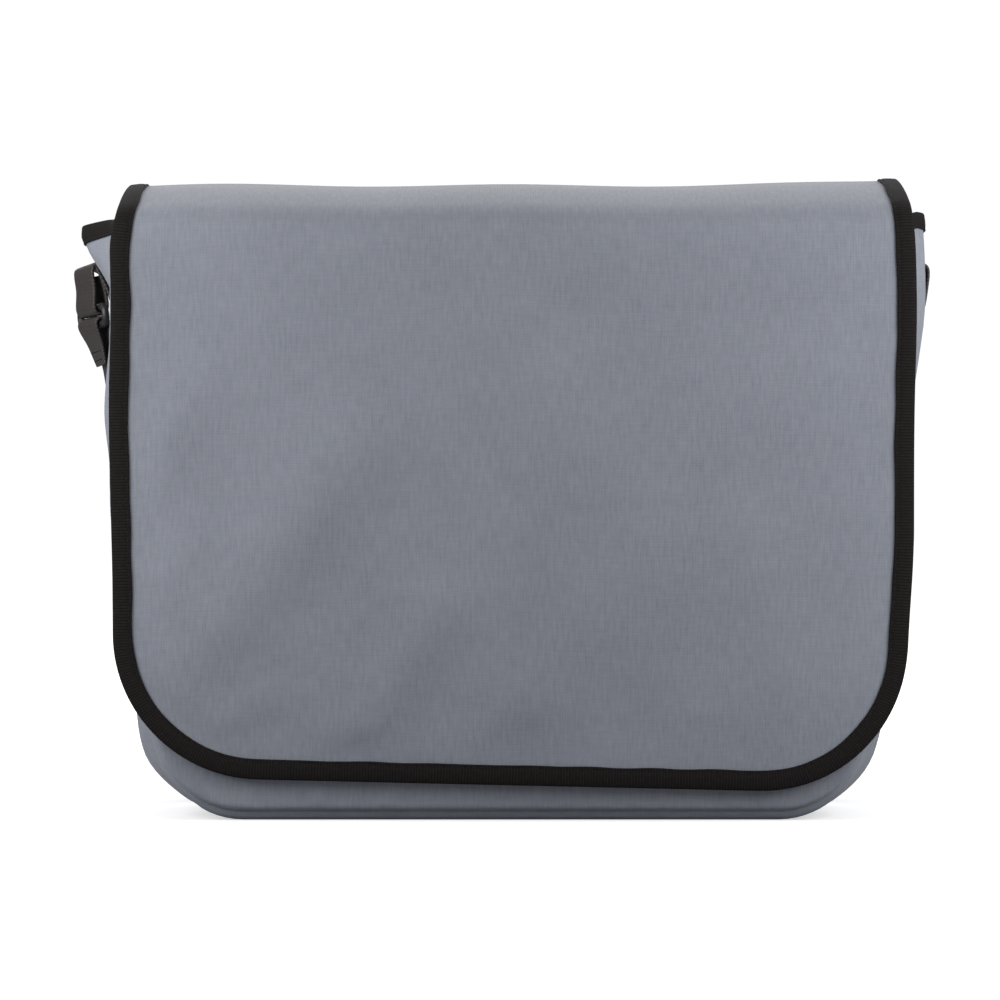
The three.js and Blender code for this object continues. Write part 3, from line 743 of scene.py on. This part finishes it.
def flapX(shares, z):  # distance across the flap of shares of its width, at a height
    upper = smooth(z, bySide(flapCut.taperTo, shares), bySide(flapCut.taperFrom, shares))
    tapered = bySide(flapCut.taper, shares) * (1 - upper)
    narrowed = bySide(flapCut.narrow, shares) * smooth(z, flapCut.narrowFrom, flapCut.narrowTo)
    swayed = flapCut.sway * np.exp(-((z - flapCut.swayHeight) / flapCut.swayTall) ** 2)
    return shares * (flapCut.halfWidth - tapered - narrowed) + swayed


def flapGrid(shares):
    standoff = flapCut.standoff + stock.cloth
    mouth = body.mouthHeight
    roll = flapCut.rollHeight
    crest = flapCut.crestHeight
    bottom = flapCut.bottom
    leftRadius, rightRadius = flapCut.radius
    cornerTop = bottom + leftRadius + (rightRadius - leftRadius) * (shares + 1) / 2
    rows = []

    def lapY(x, z):
        return backY(x, z) + stock.gap + stock.cloth

    def faceY(x, z):
        return frontY(x, np.minimum(z, body.leanHeight), standoff) - foldHeight(x, z)

    for z in np.linspace(flapCut.lapBottom, mouth, flapRows.lap):
        x = flapX(shares, z)
        rows.append(joined(x, lapY(x, z), z))
    for turn in np.linspace(0, math.pi / 2, flapRows.crown)[1:]:
        x = flapX(shares, mouth + (crest - mouth) * math.sin(turn))
        y = flapCut.crestY + (lapY(x, mouth) - flapCut.crestY) * math.cos(turn)
        rows.append(joined(x, y, mouth + (crestAt(x) - mouth) * math.sin(turn)))
    stations = np.linspace(len(flapRoll) - 2, 1, flapRows.roll)
    for back, up in smoothLine(flapRoll, stations)[1:]:
        x = flapX(shares, roll + (crest - roll) * up)
        y = faceY(x, roll) + (flapCut.crestY - faceY(x, roll)) * back
        rows.append(joined(x, y, roll + (crestAt(x) - roll) * up))
    drop = []
    for way in np.linspace(0, 1, flapRows.drop)[1:]:
        drop.append((roll + (cornerTop - roll) * way, 0))
    for turn in np.linspace(0, math.pi / 2, flapRows.corner)[1:]:
        drop.append((cornerTop + (bottom - cornerTop) * math.sin(turn), 1 - math.cos(turn)))
    for level, inset in drop:
        x = flapX(shares, level) - shares * bySide(flapCut.radius, shares) * inset
        z = level - flapCut.bottomSlope * x * (roll - level) / (roll - bottom)
        rows.append(joined(x, faceY(x, z), z))
    return np.stack(rows)


flapShares = edgeFine(flapCut.halfWidth, body.gridStep)
flapOuter = flapGrid(flapShares)
flapRun = runLength(flapOuter)
flap, flapFace, flapBehind = clothPiece("flap", flapOuter, joined(flapOuter[..., 0], -flapRun))


# Binding tape folded over an edge, from the edge's outer and inner lines

binding = SimpleNamespace(
    pressed=0.85,  # share of the tape's thickness left once it is sewn
    wander=0.3,
    wanderLength=30,
    pucker=0.16,
    puckerLength=9,
    stitchInset=1.5,
    stitchHeight=0.66,
    foldRound=0.8,
    foldTurn=80,
    foldSteps=7,
    probe=4,
)


def clothSurface(*grids):
    points = []
    faces = []
    for grid in grids:
        faces += gridFaces(*grid.shape[:2], start=len(points))
        points += grid.reshape(-1, 3).tolist()
    return BVHTree.FromPolygons(points, faces)


def clothRise(surface, points, out):  # how far the cloth's face stands above points beside it
    probe = binding.probe
    rises = []
    for point, way in zip(points, out):
        high = Vector((point + probe * way).tolist())
        hit = surface.ray_cast(high, Vector((-way).tolist()), 2 * probe)[0]
        rises.append(probe - (high - hit).length if hit else 0)
    return np.array(rises)[:, None]


def bindingSections(surface, outerEdge, innerEdge, over, width, seed, clearance):
    centre = (outerEdge + innerEdge) / 2
    out = unit(outerEdge - innerEdge)
    half = np.full((len(centre), 1), stock.cloth / 2 + clearance)
    faceLine = centre + out * stock.cloth / 2
    midRise, lipRise = [clothRise(surface, faceLine - over * depth, out) for depth in (width / 2, width)]
    run = runLength(outerEdge)
    tape = stock.tape * binding.pressed
    wander = ripple(run, 0 * run, binding.wanderLength, seed)[:, None] * binding.wander
    pucker = ripple(run, 0 * run, binding.puckerLength, seed + 1)[:, None] * binding.pucker
    lip = -width + wander
    stitch = lip + binding.stitchInset
    leg = [  # place across the tape and height of its face above the cloth, from the lip to the fold
        (lip, 0.4 * tape),
        (lip + 0.25, 0.85 * tape),
        (lip + 0.8, tape + pucker),
        (stitch, 0.62 * tape),
        (lip + 2.2, tape + pucker),
        (lip * 0.55, tape + 0.22 + pucker * 0.5),
        (lip * 0.25, tape + 0.16),
    ]
    inside = [  # the same for its inner face, from the lip to the cloth's edge
        (lip + 0.1, half),
        (lip * 0.3, half),
        (0.15 + 0 * half, half * 0.7),
    ]
    loop = [(across, half + rise) for across, rise in leg]
    reach = half + tape
    for turn in np.radians(np.linspace(binding.foldTurn, -binding.foldTurn, binding.foldSteps)):
        loop.append((reach * math.cos(turn) * binding.foldRound, reach * math.sin(turn)))
    loop += [(across, -half - rise) for across, rise in leg[::-1]]
    loop += [(across, -rise) for across, rise in inside] + inside[::-1]

    def follow(across):  # the legs follow the cloth away from its edge
        share = 2 * np.clip(-across / width, 0, 1)
        return midRise * np.minimum(share, 1) + (lipRise - midRise) * np.maximum(share - 1, 0)

    sections = [centre + over * across + out * (rise + follow(across)) for across, rise in loop]
    sections = np.stack(sections, axis=1)
    girth = np.cumsum(np.linalg.norm(np.diff(sections, axis=1), axis=-1), axis=1)
    girth = np.concatenate([np.zeros((len(run), 1)), girth], axis=1)
    stitchLine = centre + over * stitch + out * (half + binding.stitchHeight * tape + follow(stitch))
    return sections, joined(run[:, None], girth), stitchLine


# The flap's tape runs down its right side, along its front edge and up its left side
def flapEdgeLines():
    first = int(np.argmax(flapFace[:, 0, 2] > flapCut.bindingFrom))
    lines = []
    for grid in (flapFace, flapBehind):
        lines.append(np.concatenate([grid[first:, -1], grid[-1, -2:0:-1], grid[first:, 0][::-1]]))
    return lines


flapEdge, flapEdgeBehind = flapEdgeLines()
along = unit(np.gradient(flapEdge, axis=0))
over = unit(np.cross(unit(flapEdge - flapEdgeBehind), along))
bottom = smooth(-over[:, 2:], *flapCut.tapeTurn)
tapeWidth = flapCut.sideTape + (flapCut.bottomTape - flapCut.sideTape) * bottom
sections, cut, flapStitches = bindingSections(
    clothSurface(flapFace), flapEdge, flapEdgeBehind, over, tapeWidth, draws.flapTape,
    flapCut.tapeClearance,
)
tubePiece("flap_binding", sections, cut, tapeFinish)
print("flap binding made")

# The mouth's tape runs along the left gusset's top, the front panel's top and the right gusset's top
mouthTape = SimpleNamespace(width=10.8, clearance=0.5)


def mouthEdgeLines():
    def edge(face, behind, row, below):
        return face[row], behind[row], unit(face[row] - face[below])

    left = edge(gussetFace, gussetBehind, 0, 2)
    right = edge(gussetFace, gussetBehind, -1, -3)
    front = edge(frontFace, frontBehind, -1, -3)
    cut = 3  # the last fine columns in each corner give way to the turn
    parts = [
        [line[:-cut] for line in left],
        [line[::-1][cut:-cut] for line in front],
        [line[::-1][cut:] for line in right],
    ]
    return [np.concatenate(lines) for lines in zip(*parts)]


mouthEdge, mouthEdgeBehind, over = mouthEdgeLines()
sections, cut, mouthStitches = bindingSections(
    clothSurface(gussetFace, frontFace), mouthEdge, mouthEdgeBehind, over, mouthTape.width,
    draws.mouthTape, mouthTape.clearance,
)
tubePiece("mouth_binding", sections, cut, tapeFinish)
print("mouth binding made")


# Webbing: flat ribbon along a smooth line through points, each with the direction of its width

webbingCut = SimpleNamespace(
    step=2.6,
    fewest=3,  # steps between two points of its way
    columns=9,
    crown=0.06,
    edge=0.55,
    edgeTuck=0.0825,
    edgeHeight=0.55,
)


def ribbonFrame(points, widths):
    hops = np.linalg.norm(np.diff(points, axis=0), axis=-1)
    stations = [np.zeros(1)]
    for k, hop in enumerate(hops):
        count = max(webbingCut.fewest, math.ceil(hop / webbingCut.step))
        stations.append(k + np.arange(1, count + 1) / count)
    stations = np.concatenate(stations)
    centre = smoothLine(points, stations)
    along = unit(np.gradient(centre, axis=0))
    across = smoothLine(widths, stations)
    across = unit(across - along * np.sum(across * along, axis=-1, keepdims=True))
    out = np.cross(along, across)
    return SimpleNamespace(centre=centre, across=across, out=out, run=runLength(centre))


def ribbonPlace(ribbon, run, across, rise):  # points by distance along, across and above its middle
    parts = []
    for line in (ribbon.centre, ribbon.across, ribbon.out):
        parts.append(joined(*[np.interp(run, ribbon.run, line[:, k]) for k in range(3)]))
    return parts[0] + parts[1] * across[:, None] + parts[2] * rise


def webbingPiece(name, ribbon):
    half = stock.webbingWidth / 2
    thick = stock.webbing / 2
    face = np.linspace(-half + webbingCut.edge, half - webbingCut.edge, webbingCut.columns)
    crown = thick - webbingCut.crown * (face / half) ** 2
    side = half - webbingCut.edgeTuck
    bevel = thick * webbingCut.edgeHeight
    loop = [*zip(face, crown), (side, bevel), (half, 0), (side, -bevel)]
    loop += [(-across, -rise) for across, rise in loop]
    loop = loop[::-1]
    sections = [ribbon.centre + ribbon.across * across + ribbon.out * rise for across, rise in loop]
    cut = [joined(ribbon.run, across + half) for across, _ in loop]
    tubePiece(name, np.stack(sections, axis=1), np.stack(cut, axis=1), webbingFinish)


# Strap fittings: distances from the middle of the bag, turns about the upright

ring = SimpleNamespace(
    width=52,
    barSpacing=8.5,
    cornerRadius=4,
    cornerSteps=9,
    wireRadius=2.1,
    sides=20,
    partingLine=0.12,
    partingFrom=0.93,
    loopGap=0.44,
    loopSteps=5,
)
fittings = {
    "left": SimpleNamespace(
        side=-1, y=24, upperBar=218.8, barHeight=261, tilt=math.radians(6),
        tailTurn=0, ringTurn=20.5, lean=6, fall=6.6, arch=1.2,
    ),
    "right": SimpleNamespace(
        side=1, y=33, upperBar=210.9, barHeight=261, tilt=math.radians(4),
        tailTurn=-3.5, ringTurn=-2, lean=3.7, fall=3.7, arch=2.6,
    ),
}
barLoop = ring.wireRadius + ring.loopGap + stock.webbing / 2
# way of a tab: share of the way out, height above the ring's upper bar, share of the turn
tabWay = [
    (0, -13, 0), (0, -6, 0), (0.02, 1, 0), (0.3, 14, 0),
    (0.6, 20.8, 0.3), (0.82, 22.4, 0.75), (0.98, 20.5, 1), (0.93, 9.5, 1),
]
tabCut = SimpleNamespace(tailTop=262, probes=12)
# ends past each loop: distance across the loop, height from the bar, share of the ring's turn and of the lean
tabSewnEnd = [(-2.8, 6, 1, 0), (-1.4, 11.5, 1, 0), (0.3, 16.5, 1, 0)]
strapSewnEnd = [(1.4, -21, 0.6, 0.9), (2, -11, 0.8, 0.5)]
strapStart = [(-0.9, -10, 0.8, 0.7), (-0.6, -24, 0.55, 1)]


def fittingFrame(fitting, turnDegrees):
    turn = math.radians(turnDegrees)
    out = np.array([fitting.side * math.cos(turn), -math.sin(turn), 0])
    across = np.array([fitting.side * math.sin(turn), math.cos(turn), 0])
    return out, across


def fittingRun(fitting, anchorReach, rows):
    points = []
    widths = []
    for reach, height, turn in rows:
        out, across = fittingFrame(fitting, turn)
        points.append(np.array([fitting.side * anchorReach, fitting.y, height]) + out * reach)
        widths.append(across)
    return np.array(points), np.array(widths)


def barTurn(height, way, turn):  # half a turn round a bar, from its outer side
    rows = []
    for angle in np.linspace(0, math.pi, ring.loopSteps):
        rows.append((barLoop * math.cos(angle), height + way * barLoop * math.sin(angle), turn))
    return rows


def pastBar(rows, height, ringTurn, lean):
    return [(reach - lean * leant, height + lift, turned * ringTurn) for reach, lift, turned, leant in rows]


def tailReach(fitting):  # on the gusset's face at the tail's own depth
    height = np.array([tabCut.tailTop], dtype=float)
    front, back = gussetEdges(height)
    turn = math.radians(fitting.tailTurn)
    half = stock.webbingWidth / 2 * math.cos(turn)
    offsets = np.linspace(-half, half, tabCut.probes)
    share = np.clip(2 * (fitting.y + offsets - back) / (front - back) - 1, -1, 1)
    flank = (fitting.side * body.halfWidth, tabCut.tailTop, math.pi / 2)
    reach = np.abs(gussetPoints(*np.broadcast_arrays(*flank, share))[..., 0])
    seat = (stock.gap + stock.webbing / 2) / math.cos(turn)
    return float(np.max(reach - offsets * math.tan(turn))) + seat


def tabRibbon(fitting):
    onGusset = tailReach(fitting) - fitting.upperBar
    outerLeg = barLoop + fitting.arch
    rows = []
    for out, lift, turned in tabWay:
        turn = fitting.tailTurn + (fitting.ringTurn - fitting.tailTurn) * turned
        rows.append((onGusset + (outerLeg - onGusset) * out, fitting.barHeight + lift, turn))
    rows += barTurn(fitting.barHeight, -1, fitting.ringTurn)
    rows += pastBar(tabSewnEnd, fitting.barHeight, fitting.ringTurn, 0)
    return ribbonFrame(*fittingRun(fitting, fitting.upperBar, rows))


def strapEnd(fitting):
    reach = fitting.upperBar - ring.barSpacing * math.sin(fitting.tilt)
    height = fitting.barHeight - ring.barSpacing * math.cos(fitting.tilt)
    rows = pastBar(strapSewnEnd, height, fitting.ringTurn, fitting.lean)
    rows += barTurn(height, 1, fitting.ringTurn)
    rows += pastBar(strapStart, height, fitting.ringTurn, fitting.fall)
    return fittingRun(fitting, reach, rows)


# way of the strap to the ground behind the bag: distance from the middle, share of the way back, height
strapDepth = 96
strapWay = [
    (207, 0.2, 158), (206, 0.42, 120), (200.5, 0.62, 80), (186.5, 0.79, 42),
    (160, 0.9, 16), (122, 0.965, 4), (80, 0.99, 1.2), (30, 1, 1.2),
]


def strapRibbon():
    left, leftWidths = strapEnd(fittings["left"])
    right, rightWidths = strapEnd(fittings["right"])

    def way(fitting):
        points = []
        for across, back, height in strapWay:
            y = fitting.y + (strapDepth - fitting.y) * back
            points.append((fitting.side * across, y, height))
        return points

    behind = np.array(way(fittings["left"]) + way(fittings["right"])[::-1])
    points = np.concatenate([left, behind, right[::-1]])
    widths = np.tile([0.0, 1.0, 0.0], (len(behind), 1))
    return ribbonFrame(points, np.concatenate([leftWidths, widths, rightWidths[::-1]]))


def ringPiece(name, fitting):
    wire = ring.wireRadius - ring.partingLine
    points = []
    for corner in range(4):
        signX = 1 if corner in (0, 3) else -1
        signY = 1 if corner < 2 else -1
        centreX = signX * (ring.width / 2 - ring.cornerRadius)
        centreY = signY * (ring.barSpacing / 2 - ring.cornerRadius)
        for turn in (corner + np.linspace(0, 1, ring.cornerSteps)) * math.pi / 2:
            for angle in np.linspace(0, 2 * math.pi, ring.sides, endpoint=False):
                ridge = max(0, abs(math.cos(angle)) - ring.partingFrom) / (1 - ring.partingFrom)
                reach = ring.cornerRadius + (wire + ring.partingLine * ridge) * math.cos(angle)
                points.append((
                    centreX + reach * math.cos(turn),
                    centreY + reach * math.sin(turn),
                    wire * math.sin(angle),
                ))
    out, across = fittingFrame(fitting, fitting.ringTurn)
    up = np.array([0, 0, math.cos(fitting.tilt)]) + out * math.sin(fitting.tilt)
    basis = np.stack([across, up, np.cross(across, up)])
    place = np.array([fitting.side * fitting.upperBar, fitting.y, fitting.barHeight])
    placed = np.array(points) @ basis + place - up * ring.barSpacing / 2
    count = len(points) // ring.sides
    at = np.arange(len(points)).reshape(count, ring.sides)
    after = np.roll(at, -1, axis=0)
    quads = joined(at, after, np.roll(after, -1, axis=1), np.roll(at, -1, axis=1)).reshape(-1, 4)
    makePiece(name, placed, quads.tolist(), None, plasticFinish)


tabs = {}
for hand, fitting in fittings.items():
    tabs[hand] = tabRibbon(fitting)
    webbingPiece("strap_tab_" + hand, tabs[hand])
    ringPiece("strap_ring_" + hand, fitting)
strap = strapRibbon()
webbingPiece("shoulder_strap", strap)
print("strap, tabs and rings made, strap", round(float(strap.run[-1])), "mm long")


# Stitches: a node tree lays one small thread loop after another along a sewn line

stitchLook = SimpleNamespace(segments=6, rings=5, smallest=(0.85, 0.9, 0.9), largest=(1.0, 1.1, 1.1), draw=5)


def stitchTree():
    tree = bpy.data.node_groups.new("sewnLine", "GeometryNodeTree")
    sockets = {
        "Seam": "Geometry",
        "Stitch Pitch": "Float",
        "Stitch Length": "Float",
        "Thread Radius": "Float",
        "Thread": "Material",
    }
    names = {}
    for name, kind in sockets.items():
        socket = tree.interface.new_socket(name, in_out="INPUT", socket_type="NodeSocket" + kind)
        names[name] = socket.identifier
    tree.interface.new_socket("Stitches", in_out="OUTPUT", socket_type="NodeSocketGeometry")

    def made(kind, inputs=None, **settings):
        return addNode(tree, kind, inputs, **settings).outputs[0]

    given = addNode(tree, "NodeGroupInput").outputs
    line = made("GeometryNodeMeshToCurve", {"Mesh": given["Seam"]})
    spacing = {"Curve": line, "Length": given["Stitch Pitch"]}
    spaced = made("GeometryNodeResampleCurve", spacing, mode="LENGTH")
    radius = given["Thread Radius"]
    size = {"X": combine(tree, "MULTIPLY", given["Stitch Length"], 0.5), "Y": radius, "Z": radius}
    size = made("ShaderNodeCombineXYZ", size)
    ball = {"Segments": stitchLook.segments, "Rings": stitchLook.rings, "Radius": 1.0}
    bead = made("GeometryNodeMeshUVSphere", ball)
    turn = {"Geometry": bead, "Rotation": (0, math.pi / 2, 0)}
    bead = made("GeometryNodeTransform", turn)
    loop = made("GeometryNodeTransform", {"Geometry": bead, "Scale": size})
    way = made("GeometryNodeInputTangent")
    turned = made("FunctionNodeAlignRotationToVector", {"Vector": way}, axis="X")
    sizes = {0: stitchLook.smallest, 1: stitchLook.largest, "Seed": stitchLook.draw}
    uneven = made("FunctionNodeRandomValue", sizes, data_type="FLOAT_VECTOR")
    laying = {"Points": spaced, "Instance": loop, "Rotation": turned, "Scale": uneven}
    laid = made("GeometryNodeInstanceOnPoints", laying)
    real = made("GeometryNodeRealizeInstances", {0: laid})
    soft = made("GeometryNodeSetShadeSmooth", {0: real})
    done = addNode(tree, "GeometryNodeSetMaterial", {"Geometry": soft, "Material": given["Thread"]})
    addNode(tree, "NodeGroupOutput", {0: done.outputs[0]})
    return tree, names


sewnLine, sewnInputs = stitchTree()


tapeSewing = {"Stitch Pitch": 3.4, "Stitch Length": 2.7, "Thread Radius": 0.28}
webbingSewing = {"Stitch Pitch": 2.8, "Stitch Length": 2.2, "Thread Radius": 0.28}
lapSewing = SimpleNamespace(rowHeights=(293.5, 299.5), lift=0.1, endInset=3, points=120)
boxSewing = SimpleNamespace(start=2, end=11.5, inset=3.5, lift=0.05, points=24)
endSewing = SimpleNamespace(rows=(3, 7.5), inset=3, points=14)


def stitchPiece(name, lines, thread, sewing):
    edges = []
    start = 0
    for line in lines:
        edges += [(start + k, start + k + 1) for k in range(len(line) - 1)]
        start += len(line)
    mesh = bpy.data.meshes.new(name)
    mesh.from_pydata((np.concatenate(lines) * toMetres).tolist(), edges, [])
    piece = placeObject(name, mesh)
    modifier = piece.modifiers.new("sewing", "NODES")
    modifier.node_group = sewnLine
    for key, size in sewing.items():
        modifier[sewnInputs[key]] = size * toMetres
    modifier[sewnInputs["Thread"]] = thread
    ready = piece.evaluated_get(bpy.context.evaluated_depsgraph_get())
    piece.data = bpy.data.meshes.new_from_object(ready)
    piece.modifiers.clear()
    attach(piece, "root")


def sewnRow(ribbon, start, end, count, rise):  # a straight row on a ribbon, between places along and across
    run = np.linspace(start[0], end[0], count)
    across = np.linspace(start[1], end[1], count)
    return ribbonPlace(ribbon, run, across, rise)


stitchPiece("flap_binding_stitches", [flapStitches], blackThread, tapeSewing)
stitchPiece("mouth_binding_stitches", [mouthStitches], blackThread, tapeSewing)

# Two rows where the flap laps the back panel
lapLines = []
for height in lapSewing.rowHeights:
    reach = flapCut.halfWidth - lapSewing.endInset
    x = np.linspace(-reach, reach, lapSewing.points)
    y = backY(x, height) + stock.gap + stock.cloth + lapSewing.lift
    lapLines.append(joined(x, y, height))
stitchPiece("lap_stitches", lapLines, greyThread, tapeSewing)

# Boxes crossed from corner to corner on the tabs' tails, and two rows across each sewn end of the strap
face = stock.webbing / 2 + boxSewing.lift
half = stock.webbingWidth / 2 - boxSewing.inset
start = boxSewing.start
end = boxSewing.end
corners = [(start, -half), (end, -half), (end, half), (start, half)]
strapLines = []
for ribbon in tabs.values():
    for rise in (face, -face):
        for a, b in [(0, 1), (1, 2), (2, 3), (3, 0), (0, 2), (1, 3)]:
            strapLines.append(sewnRow(ribbon, corners[a], corners[b], boxSewing.points, rise))
half = stock.webbingWidth / 2 - endSewing.inset
for row in endSewing.rows:
    for run in (row, float(strap.run[-1]) - row):
        for rise in (face, -face):
            strapLines.append(sewnRow(strap, (run, -half), (run, half), endSewing.points, rise))
stitchPiece("strap_stitches", strapLines, blackThread, webbingSewing)
print("stitches sewn")


# Floor, light and camera

# name, place, aim, size and power, in metres and watts
softboxes = [
    ("leftSoftbox", (-0.56, -0.33, 0.41), (-0.1, -0.06, 0.26), (0.35, 0.45), 3.6),
    ("rightSoftbox", (0.56, -0.33, 0.41), (0.1, -0.06, 0.26), (0.35, 0.45), 3.5),
    ("rimSoftbox", (0.0, 1.5, 0.95), (0.0, 0.0, 0.3), (1.6, 0.4), 8),
    ("overheadSoftbox", (0.0, 1.23, 1.72), (0.0, 1.6, 0.0), (2.4, 0.8), 24),
]


def paleFloor():
    paper = SimpleNamespace(
        half=12.0,
        light="#cfcfd1",
        dark="#a2a2a4",  # greyer to the bag than to the eye
        glow="#ffffff",
        glowNear=0.55,
        glowFar=1.0,  # the paper burns out to white away from the bag
        glowFrom=0.3,
        glowTo=0.9,
    )
    corners = [(-1, -1), (1, -1), (1, 1), (-1, 1)]
    mesh = bpy.data.meshes.new("paperFloor")
    mesh.from_pydata([(paper.half * x, paper.half * y, 0.0) for x, y in corners], [], [(0, 1, 2, 3)])
    material, tree, surface = newMaterial(
        "studioPaper", Roughness=0.9, Specular_IOR_Level=0.1, Emission_Color=linear(paper.glow)
    )
    seen = addNode(tree, "ShaderNodeLightPath").outputs["Is Camera Ray"]
    tintBetween(tree, surface, seen, paper)
    place = addNode(tree, "ShaderNodeTexCoord").outputs["Object"]
    away = addNode(tree, "ShaderNodeVectorMath", {0: place}, operation="LENGTH").outputs["Value"]
    near = (paper.glowFrom, paper.glowTo)
    strength = (paper.glowNear, paper.glowFar)
    glow = mapRange(tree, away, near, strength, interpolation_type="SMOOTHSTEP")
    tree.links.new(combine(tree, "MULTIPLY", glow, seen), surface.inputs["Emission Strength"])
    mesh.materials.append(material)
    placeObject("paperFloor", mesh)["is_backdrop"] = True


def addSoftbox(name, place, aim, size, power):
    light = bpy.data.lights.new(name, "AREA")
    light.shape = "RECTANGLE"
    light.size, light.size_y = size
    light.energy = power
    lamp = placeObject(name, light)
    lamp.location = place
    way = Vector(aim) - Vector(place)
    lamp.rotation_euler = way.to_track_quat("-Z", "Y").to_euler()


def studioLight():
    backdrop = SimpleNamespace(colour="#fbfcff", ambient=0.2, seen=1.05)  # white to the eye, dim to the bag
    world = bpy.data.worlds.new("studioWorld")
    bpy.context.scene.world = world
    world.use_nodes = True
    tree = world.node_tree
    sky = tree.nodes["Background"]
    sky.inputs["Color"].default_value = linear(backdrop.colour)
    seen = addNode(tree, "ShaderNodeLightPath").outputs["Is Camera Ray"]
    strength = mapRange(tree, seen, (0, 1), (backdrop.ambient, backdrop.seen))
    tree.links.new(strength, sky.inputs["Strength"])
    for box in softboxes:
        addSoftbox(*box)


# The photograph's camera: level, in front of the bag, half a metre wide at the flap's face
def photoCamera():
    view = SimpleNamespace(place=(-0.0055, -1.86, 0.161), faceDistance=1.8, faceWidth=0.5, sensor=36)
    camera = bpy.data.cameras.new("photoCamera")
    camera.sensor_width = view.sensor
    camera.lens = view.sensor * view.faceDistance / view.faceWidth
    stand = placeObject("photoCamera", camera)
    stand.location = view.place
    stand.rotation_euler = (math.pi / 2, 0, 0)
    bpy.context.scene.camera = stand


paleFloor()
studioLight()
photoCamera()
bpy.context.scene.view_settings.view_transform = "Standard"
bpy.context.scene.view_settings.look = "None"
print("floor, light and camera set")

sizes = {"cad": cadBox, "visual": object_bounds()}
sizes = {name: [[round(float(c), 5) for c in corner] for corner in box] for name, box in sizes.items()}
